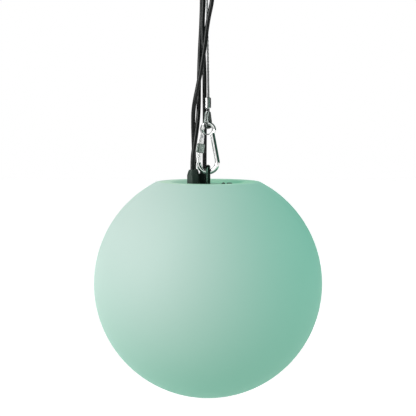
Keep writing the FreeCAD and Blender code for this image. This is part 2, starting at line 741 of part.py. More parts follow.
def gate_spring():
    """A short coil in the gate's bore that pushes on the hinge tongue, as a plain sleeve."""
    length = GATE_SPRING_L - 2 * GATE_SPRING_GAP
    at = on_gate(GATE_FORK_DEPTH + GATE_SPRING_GAP)
    outer_d = GATE_BORE_D - 2 * GATE_SPRING_GAP
    outer = rod(outer_d, length, at, GATE_WAY)
    return outer.cut(rod(outer_d - 2 * GATE_SPRING_WALL, length, at, GATE_WAY))


def lock_sleeve():
    """The screw sleeve that covers the catch when it is run down the gate."""
    at = on_gate(SLEEVE_FROM_PIVOT)
    outer_r = SLEEVE_D / 2
    bore_r = max(GATE_D, HOOK_ROD_D) / 2 + SLEEVE_GAP
    edge = SLEEVE_CHAMFER
    profile = outline(
        (bore_r, 0), (outer_r - edge, 0), (outer_r, edge), (outer_r, SLEEVE_L - edge),
        (outer_r - edge, SLEEVE_L), (bore_r, SLEEVE_L),
    )
    sleeve = profile.revolve(HERE, Z_AXIS, 360)
    grooves = [
        rod(SLEEVE_GROOVE_D, SLEEVE_L - 2 * SLEEVE_BAND,
            polar(outer_r + SLEEVE_GROOVE_OUT, 360 / SLEEVE_GROOVES * n, SLEEVE_BAND))
        for n in range(SLEEVE_GROOVES)
    ]
    sleeve = sleeve.cut(grooves)
    sleeve.Placement = FreeCAD.Placement(at, FreeCAD.Rotation(Z_AXIS, GATE_WAY))
    return sleeve


# ---------------------------------------------------------------- globe and base plate

def globe_shell():
    """A blown sphere with a flat rounded rim, a dished recess and an inner seat."""
    outer = GLOBE_R
    inner = GLOBE_R - SHELL_WALL
    flat = RIM_ABOVE_CENTRE
    under = flat - SHELL_WALL
    seat = SEAT_Z - GLOBE_Z
    seat_low = seat - SEAT_T

    def shoulder(sphere_r, level, fillet):
        """Where a fillet leaves the flat, its middle, and where it meets the sphere."""
        x = math.sqrt((sphere_r - fillet) ** 2 - (level - fillet) ** 2)
        lean = math.atan2(level - fillet, x)
        half = (math.pi / 2 + lean) / 2
        mid = (x + fillet * math.cos(half), level - fillet + fillet * math.sin(half))
        touch = (sphere_r * math.cos(lean), sphere_r * math.sin(lean))
        return (x, level), mid, touch

    top, top_mid, top_touch = shoulder(outer, flat, RIM_ROUND)
    in_top, in_mid, in_touch = shoulder(inner, under, RIM_ROUND - SHELL_WALL / 2)
    lip = RECESS_ROUND
    sink = RECESS_ROUND * (1 - math.sqrt(0.5))
    wall_out = RECESS_R + SHELL_WALL
    in_lip = RECESS_ROUND_INSIDE
    in_sink = in_lip * (1 - math.sqrt(0.5))
    profile = outline(
        (0, -outer),
        ((outer * math.cos(EQUATOR_DIP), outer * -math.sin(EQUATOR_DIP)), top_touch),
        (top_mid, top),
        (RECESS_R + lip, flat),
        ((RECESS_R + sink, flat - sink), (RECESS_R, flat - lip)),
        (RECESS_R, seat),
        (MOUTH_R, seat),
        (MOUTH_R, seat_low),
        (wall_out, seat_low),
        (wall_out, under - in_lip),
        ((wall_out + in_sink, under - in_sink), (wall_out + in_lip, under)),
        in_top,
        (in_mid, in_touch),
        ((inner * math.cos(EQUATOR_DIP), inner * -math.sin(EQUATOR_DIP)), (0, -inner)),
    )
    shell = spun(profile, vec(0, 0, GLOBE_Z))
    bores = [
        rod(INSERT_D, INSERT_L + INSERT_BORE_DEEPER, p - Z_AXIS * (INSERT_L + INSERT_BORE_DEEPER))
        for p in screw_points(SEAT_Z)
    ]
    return shell.cut(bores)


def screw_points(z):
    return [
        polar(SCREW_RING_R, SCREW_FIRST_DEG + 360 / SCREW_COUNT * n, z)
        for n in range(SCREW_COUNT)
    ]


def pillar_points(z):
    return [
        polar(PILLAR_RING_R, PILLAR_FIRST_DEG + 360 / PILLAR_COUNT * n, z)
        for n in range(PILLAR_COUNT)
    ]


def gland_point(name, z):
    return polar(GLAND_RING_R, GLAND_DEG[name], z)


def lug_points(z):
    return [vec(0, side * LUG_HALF_SPAN, z) for side in (-1, 1)]


def plate_gasket():
    ring = tube(2 * (RECESS_R - PLATE_GAP), 2 * MOUTH_R, GASKET_T, vec(0, 0, SEAT_Z))
    holes = [rod(SCREW_D + 2 * SCREW_HOLE_GAP, GASKET_T, p) for p in screw_points(SEAT_Z)]
    return ring.cut(holes)


def base_plate():
    """The round plate that closes the globe, drilled for all that passes through it."""
    radius = RECESS_R - PLATE_GAP
    profile = outline(
        (0, 0), (radius, 0), (radius, PLATE_T - PLATE_CHAMFER),
        (radius - PLATE_CHAMFER, PLATE_T), (0, PLATE_T),
    )
    plate = spun(profile, vec(0, 0, PLATE_UNDER_Z))
    low = PLATE_UNDER_Z
    holes = [rod(LUG_ROD_D + 2 * HOLE_GAP, PLATE_T, p) for p in lug_points(low)]
    holes += [rod(GLAND_THREAD_D + 2 * HOLE_GAP, PLATE_T, gland_point(n, low)) for n in GLAND_DEG]
    holes += [rod(PILLAR_SCREW_D + 2 * SMALL_HOLE_GAP, PLATE_T, p) for p in pillar_points(low)]
    holes.append(rod(WINDOW_D + 2 * SMALL_HOLE_GAP, PLATE_T, vec(*WINDOW_AT, low)))
    holes.append(rod(VENT_SHANK_D + 2 * SMALL_HOLE_GAP, PLATE_T, vec(*VENT_AT, low)))
    for p in screw_points(low):
        holes.append(rod(SCREW_D + 2 * SCREW_HOLE_GAP, PLATE_T, p))
        holes.append(countersink(SCREW_HEAD_D, SCREW_D, p + Z_AXIS * PLATE_T, SINK_GAP))
    for p in pillar_points(low):
        top = p + Z_AXIS * PLATE_T
        holes.append(countersink(PILLAR_SCREW_HEAD_D, PILLAR_SCREW_D, top, SINK_GAP))
    return plate.cut(holes)


def countersink(head_d, shank_d, top, gap=0.0):
    """A right-angled cone under a flat head, its widest circle at top."""
    wide = head_d / 2 + gap
    narrow = shank_d / 2 + gap
    return Part.makeCone(narrow, wide, wide - narrow, top - Z_AXIS * (wide - narrow))


def flat_screw(head_d, shank_d, length, top):
    """A countersunk screw with a hexagon socket."""
    shank = rod(shank_d, length, top - Z_AXIS * length)
    head = countersink(head_d, shank_d, top)
    deep = (head_d - shank_d) / 2 * SOCKET_DEEP_SHARE
    socket = hexagon(shank_d * SOCKET_SHARE, deep, top - Z_AXIS * deep)
    return shank.fuse(head).cut(socket)


def plate_screws():
    tops = screw_points(PLATE_Z)
    return group([flat_screw(SCREW_HEAD_D, SCREW_D, SCREW_L, p) for p in tops])


def plate_inserts():
    """Threaded brass inserts in the globe's seat."""
    bore = SCREW_D + 2 * FIT_GAP
    low = [p - Z_AXIS * INSERT_L for p in screw_points(SEAT_Z)]
    return group([tube(INSERT_D, bore, INSERT_L, p) for p in low])


def hanging_lug():
    """A U bolt: its bend hangs in the snap hook, and its legs go through the plate."""
    crown_z = LUG_TOP_Z - LUG_ROD_D / 2 - LUG_HALF_SPAN
    foot_z = PLATE_UNDER_Z - LUG_BELOW_PLATE
    front = vec(0, -LUG_HALF_SPAN, foot_z)
    back = vec(0, LUG_HALF_SPAN, foot_z)
    rise = Z_AXIS * (crown_z - foot_z)
    path = Part.Wire([
        Part.makeLine(front, front + rise),
        Part.Arc(front + rise, vec(0, 0, crown_z + LUG_HALF_SPAN), back + rise).toShape(),
        Part.makeLine(back + rise, back),
    ])
    ring = Part.Wire(Part.Circle(front, Z_AXIS, LUG_ROD_D / 2).toShape())
    bolt = path.makePipeShell([ring], True, True)
    ends = [e for e in bolt.Edges if abs(e.CenterOfMass.z - foot_z) < 0.01]
    return bolt.makeChamfer(LUG_CHAMFER, ends)


def lug_washers():
    bore = LUG_ROD_D + 2 * HOLE_GAP
    low = lug_points(PLATE_UNDER_Z - WASHER_T)
    return group([tube(WASHER_D, bore, WASHER_T, p) for p in low])


def lug_nuts():
    nuts = []
    for p in lug_points(PLATE_UNDER_Z - WASHER_T - NUT_H):
        nut = hexagon(NUT_AF, NUT_H, p, chamfer=NUT_CHAMFER)
        nuts.append(nut.cut(rod(LUG_ROD_D + 2 * FIT_GAP, NUT_H, p)))
    return group(nuts)


def sensor_window():
    """A small dark dome in a bezel, over the remote control's receiver."""
    radius = WINDOW_D / 2
    bezel = WINDOW_BEZEL_D / 2
    rise = WINDOW_H - WINDOW_BEZEL_H
    edge = WINDOW_BEZEL_EDGE
    dome_r = (radius ** 2 + rise ** 2) / (2 * rise)
    half = math.asin(radius / dome_r) / 2
    dome_mid = (dome_r * math.sin(half), WINDOW_H - dome_r * (1 - math.cos(half)))
    profile = outline(
        (0, -PLATE_T), (radius, -PLATE_T), (radius, 0), (bezel, 0),
        (bezel, WINDOW_BEZEL_H - edge), (bezel - edge, WINDOW_BEZEL_H),
        (radius, WINDOW_BEZEL_H), (dome_mid, (0, WINDOW_H)),
    )
    return spun(profile, vec(*WINDOW_AT, PLATE_Z))


def vent_plug():
    """A low cap with a pressure vent, screwed into the plate."""
    radius = VENT_D / 2
    shank = VENT_SHANK_D / 2
    foot = -PLATE_T - VENT_SHANK_BELOW
    profile = outline(
        (VENT_BORE_R, foot), (shank, foot), (shank, 0), (radius, 0),
        (radius, VENT_H - VENT_EDGE), (radius - VENT_EDGE, VENT_H), (0, VENT_H),
        (0, VENT_H - VENT_CAP_T), (VENT_BORE_R, VENT_H - VENT_CAP_T),
    )
    return spun(profile, vec(*VENT_AT, PLATE_Z))


# ---------------------------------------------------------------- glands

GLAND_TOP = GLAND_WASHER_T + GLAND_FLANGE_H + GLAND_HEX_H + GLAND_DOME_H
CAP_FOOT = GLAND_WASHER_T + GLAND_FLANGE_H


def gland_body(name):
    """Hexagon flange, lower thread through the plate, and slotted clamping fingers."""
    at = gland_point(name, PLATE_Z)
    flange = hexagon(GLAND_AF, GLAND_FLANGE_H, at + Z_AXIS * GLAND_WASHER_T, GLAND_CHAMFER)
    lower = rod(GLAND_THREAD_D, PLATE_T + GLAND_BELOW + GLAND_WASHER_T,
                at - Z_AXIS * (PLATE_T + GLAND_BELOW))
    upper = rod(GLAND_UPPER_D, GLAND_UPPER_L, at + Z_AXIS * CAP_FOOT)
    body = flange.fuse([lower, upper])
    bore_d = LEAD_D + 2 * FIT_GAP
    bore_from = at - Z_AXIS * (PLATE_T + GLAND_BELOW)
    body = body.cut(rod(bore_d, PLATE_T + GLAND_BELOW + GLAND_TOP, bore_from))
    pocket_d = GLAND_UPPER_D - 2 * GLAND_WALL
    body = body.cut(rod(pocket_d, GLAND_UPPER_L, at + Z_AXIS * (CAP_FOOT + GLAND_RIM)))
    slots = []
    for n in range(GLAND_SLOTS // 2):
        slot = Part.makeBox(2 * GLAND_UPPER_D, GLAND_SLOT_W, GLAND_UPPER_L)
        slot.translate(vec(-GLAND_UPPER_D, -GLAND_SLOT_W / 2, 0))
        slot.rotate(HERE, Z_AXIS, 360 / GLAND_SLOTS * n)
        slot.translate(at + Z_AXIS * (CAP_FOOT + GLAND_SLOT_FOOT))
        slots.append(slot)
    return body.cut(slots)


def gland_seal(name):
    """The rubber sleeve that grips the lead."""
    at = gland_point(name, PLATE_Z + CAP_FOOT + GLAND_RIM)
    outer = GLAND_UPPER_D - 2 * GLAND_WALL
    return tube(outer, LEAD_D, GLAND_UPPER_L + GLAND_SEAL_OUT, at)


def gland_cap(name):
    """The domed cap nut that squeezes the fingers and the seal onto the lead."""
    at = gland_point(name, PLATE_Z + CAP_FOOT)
    height = GLAND_HEX_H + GLAND_DOME_H
    corner = GLAND_AF / math.sqrt(3)
    mouth = GLAND_MOUTH_D / 2
    dome = GLAND_DOME_D / 2
    edge = GLAND_CAP_EDGE
    skin = outline(
        (0, 0), (corner - edge, 0), (corner, edge), (corner, GLAND_HEX_H - GLAND_SHOULDER),
        (dome, GLAND_HEX_H + GLAND_SHOULDER_RISE),
        ((dome - GLAND_DOME_DRAW, GLAND_HEX_H + GLAND_DOME_H * GLAND_DOME_MID), (mouth, height)),
        (0, height),
    )
    hexed = hexagon(GLAND_AF, GLAND_HEX_H, at).fuse(rod(GLAND_DOME_D, height, at))
    cap = hexed.common(spun(skin, at))
    bore = rod(GLAND_UPPER_D + 2 * FIT_GAP, GLAND_UPPER_L + GLAND_CAP_ROOM, at)
    throat = rod(LEAD_D + 2 * FIT_GAP, height, at)
    return cap.cut([bore, throat])


def gland_washers():
    ring_d = GLAND_AF - GLAND_RIM
    bore = GLAND_THREAD_D + 2 * HOLE_GAP
    spots = [gland_point(n, PLATE_Z) for n in GLAND_DEG]
    return group([tube(ring_d, bore, GLAND_WASHER_T, p) for p in spots])


def gland_locknuts():
    nuts = []
    for name in GLAND_DEG:
        at = gland_point(name, PLATE_UNDER_Z - LOCKNUT_H)
        nut = hexagon(LOCKNUT_AF, LOCKNUT_H, at, chamfer=NUT_CHAMFER)
        nuts.append(nut.cut(rod(GLAND_THREAD_D + 2 * FIT_GAP, LOCKNUT_H, at)))
    return group(nuts)


# ---------------------------------------------------------------- leads and connectors

def lead_points(name):
    """The route's points: out of the gland, round the hook and rope, into the connector."""
    mouth = gland_point(name, PLATE_Z + GLAND_TOP)
    points = [mouth, mouth + Z_AXIS * LEAD_RISE]
    points += [vec(x, y, PLATE_Z + height) for x, y, height in ROUTES[name]]
    points.append(points[-1] + Z_AXIS * LEAD_INTO_PLUG)
    return points


def lead(name):
    """The free stretch of a lead, from its gland's mouth to its connector."""
    wire, radii = route_wire(lead_points(name))
    solid = swept(wire, LEAD_D / 2)
    section = math.pi * LEAD_D ** 2 / 4
    print(name, "lead: length", round(wire.Length, 1),
          "volume over section times length", round(solid.Volume / section / wire.Length, 4),
          "radii", [round(r) for r in radii])
    return solid


def lead_tails():
    """The leads inside their glands and below the plate, where their jackets are stripped."""
    length = PLATE_T + LEAD_TAIL + GLAND_TOP
    low = PLATE_UNDER_Z - LEAD_TAIL
    return group([rod(LEAD_D, length, gland_point(n, low)) for n in GLAND_DEG])


def connector_foot(name):
    return lead_points(name)[-1]


def connector_body(name):
    """A moulded relief and grip, and the nose that carries the contacts."""
    relief = PLUG_RELIEF_D / 2
    grip = PLUG_GRIP_D / 2
    neck = PLUG_NECK_D / 2
    nose = neck - PLUG_NOSE_WALL
    relief_top = grip - PLUG_STEP
    edge = PLUG_EDGE
    foot_edge = PLUG_FOOT_EDGE
    grip_z = PLUG_RELIEF_L
    neck_z = grip_z + PLUG_GRIP_L
    top = neck_z + PLUG_NOSE_L
    profile = outline(
        (0, 0), (relief - foot_edge, 0), (relief, foot_edge), (relief_top, grip_z),
        (grip - edge, grip_z), (grip, grip_z + edge), (grip, neck_z - edge),
        (grip - edge, neck_z), (neck, neck_z),
        (neck, top), (nose, top), (nose, neck_z + PLUG_INSERT_T), (0, neck_z + PLUG_INSERT_T),
    )
    foot = connector_foot(name)
    body = spun(profile, foot)
    step = (PLUG_RELIEF_L - PLUG_RIB_FIRST - PLUG_RIB_LAST) / PLUG_RIBS
    cuts = []
    for n in range(PLUG_RIBS):
        z = PLUG_RIB_FIRST + step * n
        skin = relief + (relief_top - relief) * z / PLUG_RELIEF_L
        floor = 2 * (skin - PLUG_RIB_DEEP)
        cuts.append(tube(2 * PLUG_GRIP_D, floor, PLUG_RIB_GAP, foot + Z_AXIS * z))
    holes = [
        rod(PIN_D, PLUG_INSERT_T, foot + p + Z_AXIS * neck_z) for p in contact_spots()
    ]
    return body.cut(cuts + holes)


def contact_spots():
    """Where the contacts stand round the connector's axis."""
    step = 360 / PLUG_CONTACTS
    return [polar(PIN_RING_R, step * (k + 0.5)) for k in range(PLUG_CONTACTS)]


def connector_ring(name):
    """The coupling ring that turns on the nose, fluted for the fingers."""
    neck = PLUG_NECK_D / 2 + RING_GAP
    thread = neck + RING_THREAD_DEEP
    outer = RING_D / 2
    edge = RING_EDGE
    profile = outline(
        (neck, 0), (outer - edge, 0), (outer, edge), (outer, RING_L - edge),
        (outer - edge, RING_L), (thread, RING_L), (thread, RING_LIP_L), (neck, RING_LIP_L),
    )
    at = connector_foot(name) + Z_AXIS * (PLUG_RELIEF_L + PLUG_GRIP_L + RING_LIFT)
    ring = spun(profile, at)
    flutes = [
        rod(RING_GROOVE_D, RING_L, at + polar(outer + RING_GROOVE_OUT, 360 / RING_GROOVES * n))
        for n in range(RING_GROOVES)
    ]
    return ring.cut(flutes)


def connector_pins(name):
    base = connector_foot(name) + Z_AXIS * (PLUG_RELIEF_L + PLUG_GRIP_L)
    pins = []
    for spot in contact_spots():
        pin = rod(PIN_D, PLUG_INSERT_T + PIN_L, base + spot)
        tip = max(pin.Edges, key=lambda e: e.CenterOfMass.z)
        pins.append(pin.makeChamfer(PIN_D * PIN_TIP_SHARE, [tip]))
    return group(pins)


# ---------------------------------------------------------------- light engine

PILLAR_TOP = PLATE_UNDER_Z
CARRIER_Z = PILLAR_TOP - PILLAR_L - CARRIER_T
POST_Z = CARRIER_Z - POST_L
FACE_STEP = 360 / POST_FACES


def pillars():
    """Hexagon spacers that carry the light engine under the plate."""
    low = pillar_points(PILLAR_TOP - PILLAR_L)
    bore = PILLAR_SCREW_D + 2 * FIT_GAP
    return group([hexagon(PILLAR_AF, PILLAR_L, p).cut(rod(bore, PILLAR_L, p)) for p in low])


def pillar_screws():
    """Flat screws down through the plate and pan screws up through the carrier."""
    screws = [
        flat_screw(PILLAR_SCREW_HEAD_D, PILLAR_SCREW_D, PLATE_T + PILLAR_SCREW_GRIP, p)
        for p in pillar_points(PLATE_Z)
    ]
    for p in pillar_points(CARRIER_Z):
        shank = rod(PILLAR_SCREW_D, CARRIER_T + PILLAR_SCREW_GRIP, p)
        head_d = PILLAR_SCREW_D * PAN_HEAD_SHARE
        screws.append(shank.fuse(rod(head_d, PILLAR_PAN_H, p - Z_AXIS * PILLAR_PAN_H)))
    return group(screws)


def heat_sink():
    """A round carrier with a hollow hexagon post under it, finned inside."""
    carrier = rod(2 * CARRIER_R, CARRIER_T, vec(0, 0, CARRIER_Z))
    post = hexagon(POST_AF, POST_L, vec(0, 0, POST_Z))
    inner = hexagon(POST_AF - 2 * POST_WALL, POST_L - POST_WALL, vec(0, 0, POST_Z + POST_WALL))
    shell = post.cut(inner)
    fins = []
    fin_from = POST_AF / 2 - POST_WALL - FIN_DEEP + FIN_ROOT
    for n in range(POST_FACES):
        fin = Part.makeBox(FIN_DEEP, FIN_T, POST_L - POST_WALL)
        fin.translate(vec(fin_from, -FIN_T / 2, POST_Z + POST_WALL))
        fin.rotate(HERE, Z_AXIS, FACE_STEP * n)
        fins.append(fin)
    body = shell.fuse(fins + [carrier])
    low = [rod(PILLAR_SCREW_D + 2 * SMALL_HOLE_GAP, CARRIER_T, p) for p in pillar_points(CARRIER_Z)]
    low.append(rod(CARRIER_WIRE_HOLE_D, CARRIER_T, vec(CARRIER_WIRE_HOLE_X, 0, CARRIER_Z)))
    low += [rod(CONTROL_SCREW_D, CARRIER_T, p) for p in board_corners(CARRIER_Z)]
    return body.cut(low).removeSplitter()


def led_boards():
    """Six boards on the flats of the post and a round one under it."""
    boards = []
    for n in range(POST_FACES):
        board = Part.makeBox(BOARD_T, BOARD_W, BOARD_L)
        board.translate(vec(POST_AF / 2, -BOARD_W / 2, POST_Z + (POST_L - BOARD_L) / 2))
        board.rotate(HERE, Z_AXIS, FACE_STEP * n)
        boards.append(board)
    boards.append(rod(2 * END_BOARD_R, BOARD_T, vec(0, 0, POST_Z - BOARD_T)))
    return group(boards)


def led_chips():
    """Four-colour chips along each board and round the end board."""
    chips = []
    pitch = BOARD_L / CHIPS_PER_BOARD
    low = POST_Z + (POST_L - BOARD_L) / 2
    for n in range(POST_FACES):
        for k in range(CHIPS_PER_BOARD):
            chip = Part.makeBox(CHIP_T, CHIP_W, CHIP_W)
            z = low + pitch * (k + 0.5) - CHIP_W / 2
            chip.translate(vec(POST_AF / 2 + BOARD_T, -CHIP_W / 2, z))
            chip.rotate(HERE, Z_AXIS, FACE_STEP * n)
            chips.append(chip)
    for n in range(POST_FACES):
        chip = Part.makeBox(CHIP_W, CHIP_W, CHIP_T)
        chip.translate(vec(END_CHIPS_FROM, -CHIP_W / 2, POST_Z - BOARD_T - CHIP_T))
        chip.rotate(HERE, Z_AXIS, FACE_STEP * n)
        chips.append(chip)
    return group(chips)


def driver_housing():
    """The potted power supply, hung in the post from the carrier."""
    low = CARRIER_Z - DRIVER_H
    box = Part.makeBox(DRIVER_W, DRIVER_D, DRIVER_H)
    box.translate(vec(-DRIVER_W / 2, -DRIVER_D / 2, low))
    upright = [
        e for e in box.Edges
        if abs(e.Vertexes[0].Point.z - e.Vertexes[1].Point.z) > DRIVER_H / 2
    ]
    return box.makeFillet(DRIVER_ROUND, upright)


def board_corners(z):
    """Where the control board is screwed down."""
    inset = CONTROL_SCREW_INSET
    across = (CONTROL_X + inset, CONTROL_X + CONTROL_W - inset)
    deep = CONTROL_D / 2 - inset
    return [vec(x, y, z) for x in across for y in (-deep, deep)][:3]


def control_board():
    """The control circuit, flat on the carrier, with its chip and the receiver's stalk."""
    z = CARRIER_Z + CARRIER_T
    board = Part.makeBox(CONTROL_W, CONTROL_D, CONTROL_T)
    board.translate(vec(CONTROL_X, -CONTROL_D / 2, z))
    chip = Part.makeBox(CONTROL_CHIP_W, CONTROL_CHIP_W, CONTROL_CHIP_H)
    chip.translate(vec(CONTROL_X + CONTROL_W / 2, -CONTROL_CHIP_W / 2, z + CONTROL_T))
    stalk_l = PLATE_UNDER_Z - z - CONTROL_T - RECEIVER_GAP
    stalk = rod(RECEIVER_D, stalk_l, vec(*WINDOW_AT, z + CONTROL_T))
    holes = [rod(CONTROL_SCREW_D + 2 * SMALL_HOLE_GAP, CONTROL_T, p) for p in board_corners(z)]
    return board.fuse([chip, stalk]).cut(holes).removeSplitter()


def board_screws():
    """Pan head screws that hold the control board on the carrier."""
    screws = []
    for p in board_corners(CARRIER_Z):
        shank = rod(CONTROL_SCREW_D, CARRIER_T + CONTROL_T, p)
        head = rod(CONTROL_SCREW_D * PAN_HEAD_SHARE, CONTROL_PAN_H, p + Z_AXIS * (CARRIER_T + CONTROL_T))
        screws.append(shank.fuse(head))
    return group(screws)


def terminal_block():
    """The screw terminals for the cores of the leads, on the control board."""
    z = CARRIER_Z + CARRIER_T + CONTROL_T
    length = TERMINAL_PITCH * TERMINAL_WAYS
    left = CONTROL_X + TERMINAL_INSET
    block = Part.makeBox(TERMINAL_W, length, TERMINAL_H)
    block.translate(vec(left, -length / 2, z))
    cuts = []
    for n in range(TERMINAL_WAYS):
        y = TERMINAL_PITCH * (n + 0.5) - length / 2
        screw = vec(left + TERMINAL_SCREW_X, y, z + TERMINAL_H - TERMINAL_SCREW_DEEP)
        cuts.append(rod(TERMINAL_SCREW_D, TERMINAL_SCREW_DEEP, screw))
        entry = vec(left, y, z + TERMINAL_ENTRY_Z)
        cuts.append(rod(TERMINAL_ENTRY_D, TERMINAL_ENTRY_DEEP, entry, X_AXIS))
    return block.cut(cuts)


# ---------------------------------------------------------------- every node

def nodes():
    made = {
        "wire_rope": wire_rope(),
        "hook_body": hook_body(),
        "hook_eye_ring": eye_ring(),
        "gate_rivet": gate_rivet(),
        "gate_arm": gate_arm(),
        "catch_pin": catch_pin(),
        "gate_spring": gate_spring(),
        "lock_sleeve": lock_sleeve(),
        "globe_shell": globe_shell(),
        "plate_gasket": plate_gasket(),
        "base_plate": base_plate(),
        "plate_screws": plate_screws(),
        "plate_inserts": plate_inserts(),
        "hanging_lug": hanging_lug(),
        "lug_washers": lug_washers(),
        "lug_nuts": lug_nuts(),
        "sensor_window": sensor_window(),
        "vent_plug": vent_plug(),
        "gland_washers": gland_washers(),
        "gland_locknuts": gland_locknuts(),
        "lead_tails": lead_tails(),
        "pillars": pillars(),
        "pillar_screws": pillar_screws(),
        "heat_sink": heat_sink(),
        "led_boards": led_boards(),
        "led_chips": led_chips(),
        "driver_housing": driver_housing(),
        "control_board": control_board(),
        "board_screws": board_screws(),
        "terminal_block": terminal_block(),
    }
    for name, place in LOOPS.items():
        made[name + "_thimble"] = thimble(*place)
        made[name + "_ferrule"] = ferrule(*place)
    for name in GLAND_DEG:
        made[name + "_lead"] = lead(name)
        made[name + "_gland_body"] = gland_body(name)
        made[name + "_gland_seal"] = gland_seal(name)
        made[name + "_gland_cap"] = gland_cap(name)
        made[name + "_connector"] = connector_body(name)
        made[name + "_coupling_ring"] = connector_ring(name)
        made[name + "_contact_pins"] = connector_pins(name)
    return made


def main():
    os.makedirs("parts", exist_ok=True)
    for name, shape in nodes().items():
        if not shape.isValid():
            print("not valid:", name)
        shape.exportStep("parts/" + name + ".step")


main()
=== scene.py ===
"""Looks of the garden globe light, laid out as an add-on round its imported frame.

Each operator makes or finishes one group of pieces: the leads, the wire rope, its fittings, the
snap hook, the globe, its base plate, the glands, the connectors, the light engine and the stage.
Everything is in metres, +Z is up, -Y is the front and the origin is the upper bearing point.
"""

import math

import bmesh
import bpy
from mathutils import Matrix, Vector


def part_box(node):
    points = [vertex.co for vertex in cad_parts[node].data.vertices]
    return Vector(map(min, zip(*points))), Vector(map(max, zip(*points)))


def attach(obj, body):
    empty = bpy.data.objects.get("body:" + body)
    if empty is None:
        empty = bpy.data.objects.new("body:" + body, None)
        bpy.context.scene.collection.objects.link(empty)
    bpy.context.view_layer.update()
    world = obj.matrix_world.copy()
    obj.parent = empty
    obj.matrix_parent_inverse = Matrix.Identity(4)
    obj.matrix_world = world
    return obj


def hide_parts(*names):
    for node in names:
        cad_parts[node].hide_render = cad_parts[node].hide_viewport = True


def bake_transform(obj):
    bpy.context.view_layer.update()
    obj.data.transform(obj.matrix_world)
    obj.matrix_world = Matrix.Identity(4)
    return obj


bl_info = {
    "name": "Garden Globe Light",
    "version": (1, 0, 0),
    "blender": (4, 5, 0),
    "location": "View3D > Sidebar > Globe Light",
    "description": "Leads, stranded rope, finishes and stage for a hanging garden globe light",
    "category": "Object",
}

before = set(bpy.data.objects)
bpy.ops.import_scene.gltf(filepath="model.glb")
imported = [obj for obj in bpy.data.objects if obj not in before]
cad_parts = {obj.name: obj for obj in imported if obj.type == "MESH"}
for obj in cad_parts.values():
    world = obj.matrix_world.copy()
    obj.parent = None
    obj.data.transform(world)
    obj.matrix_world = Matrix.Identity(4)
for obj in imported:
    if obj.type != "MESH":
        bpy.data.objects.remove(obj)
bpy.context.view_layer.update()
SHELL_LOW, SHELL_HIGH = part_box("globe_shell")
GLOBE_R = (SHELL_HIGH.x - SHELL_LOW.x) / 2
GLOBE_Z = SHELL_LOW.z + GLOBE_R


# ---------------------------------------------------------------- cords

# the leads' routes: gland mouth, end of the rise, the loose stretch and the run into the plug
LEAD_ROUTES = {
    "supply": (
        (-0.020098, -0.008948, -0.2692),
        (-0.020098, -0.008948, -0.2532),
        (-0.0173, -0.0088, -0.2372),
        (-0.0136, -0.0066, -0.2112),
        (-0.0120, 0.0014, -0.1892),
        (-0.0119, 0.0082, -0.1572),
        (-0.0109, 0.0152, -0.1192),
        (-0.0088, 0.0210, -0.0802),
        (-0.0080, 0.0275, -0.0512),
        (-0.0080, 0.0275, -0.0352),
    ),
    "control_in": (
        (-0.018451, 0.011982, -0.2692),
        (-0.018451, 0.011982, -0.2532),
        (-0.0189, 0.0106, -0.2352),
        (-0.0195, 0.0046, -0.2112),
        (-0.0189, -0.0044, -0.1882),
        (-0.0114, -0.0085, -0.1542),
        (-0.0050, -0.0080, -0.1182),
        (-0.0006, -0.0086, -0.0802),
        (0.0062, -0.0125, -0.0512),
        (0.0062, -0.0125, -0.0352),
    ),
    "control_out": (
        (-0.004574, 0.021519, -0.2692),
        (-0.004574, 0.021519, -0.2532),
        (-0.0044, 0.0200, -0.2342),
        (-0.0042, 0.0160, -0.2062),
        (-0.0045, 0.0130, -0.1772),
        (-0.0045, 0.0110, -0.1402),
        (-0.0066, 0.0092, -0.1042),
        (-0.0070, 0.0100, -0.0762),
        (-0.0055, 0.0120, -0.0512),
        (-0.0055, 0.0120, -0.0352),
    ),
}
LEADS = tuple(LEAD_ROUTES)

# one loop of the rope, from the dead end: across it, and height from its bearing point
LOOP_ROUTE = (
    (0.00155, 0.03718),
    (0.00155, 0.02450),
    (0.00155, 0.02159),
    (0.00577, 0.01000),
    (0.00776, 0.00453),
    (0.00539, -0.00079),
    (0.0, -0.002965),
    (-0.00539, -0.00079),
    (-0.00776, 0.00453),
    (-0.00577, 0.01000),
    (-0.00155, 0.02159),
    (-0.00155, 0.02450),
    (-0.00155, 0.03718),
)
LOWER_LOOP = {"yaw": 202.0, "bearing": -0.213, "way": 1.0}
UPPER_LOOP = {"yaw": 90.0, "bearing": 0.0, "way": -1.0}
STRANDS_ACROSS = 3      # a strand, the core and a strand make up the rope's diameter
WIRES_ROUND = 6.0       # wires laid round the middle one of a strand

LINE_STEPS = 24         # points along a smooth line for each point of its route
LEAD_ROUND_STEPS = 6    # how finely a lead's round section is cut, and a strand's
STRAND_ROUND_STEPS = 2


# ---------------------------------------------------------------- colours and grain

MICRON = 0.000001
PLASTIC_IOR = 1.5
GEL_IOR = 1.45

# painted light on one side of the globe's wall and painted shade at its bottom, fitted to the
# photograph; the spans are shares of the globe's radius from its centre, towards the side with
# the painted light and downwards
PAINTED_LIGHT_SIDE_X = -0.994
PAINTED_LIGHT_SIDE_Z = -0.112
PAINTED_LIGHT_SPAN = (-0.971, 0.632)
# where the painted shade at the bottom of the globe begins and ends
PAINTED_SHADE_UNDER_SPAN = (-0.567, 1.074)
CLOUD_SHARE = 0.05      # how much an uneven wall sways the glow
RIM_PAINTED_SHADE_SHARE = 0.28        # how much less of the painted light falls on the rim, as painted shade

# the rim's own colour ends between these distances from the axis, and at this height
RIM_SPAN = (0.060, 0.069)
RIM_DEPTH = 0.022
RIM_Z = SHELL_HIGH.z - RIM_DEPTH

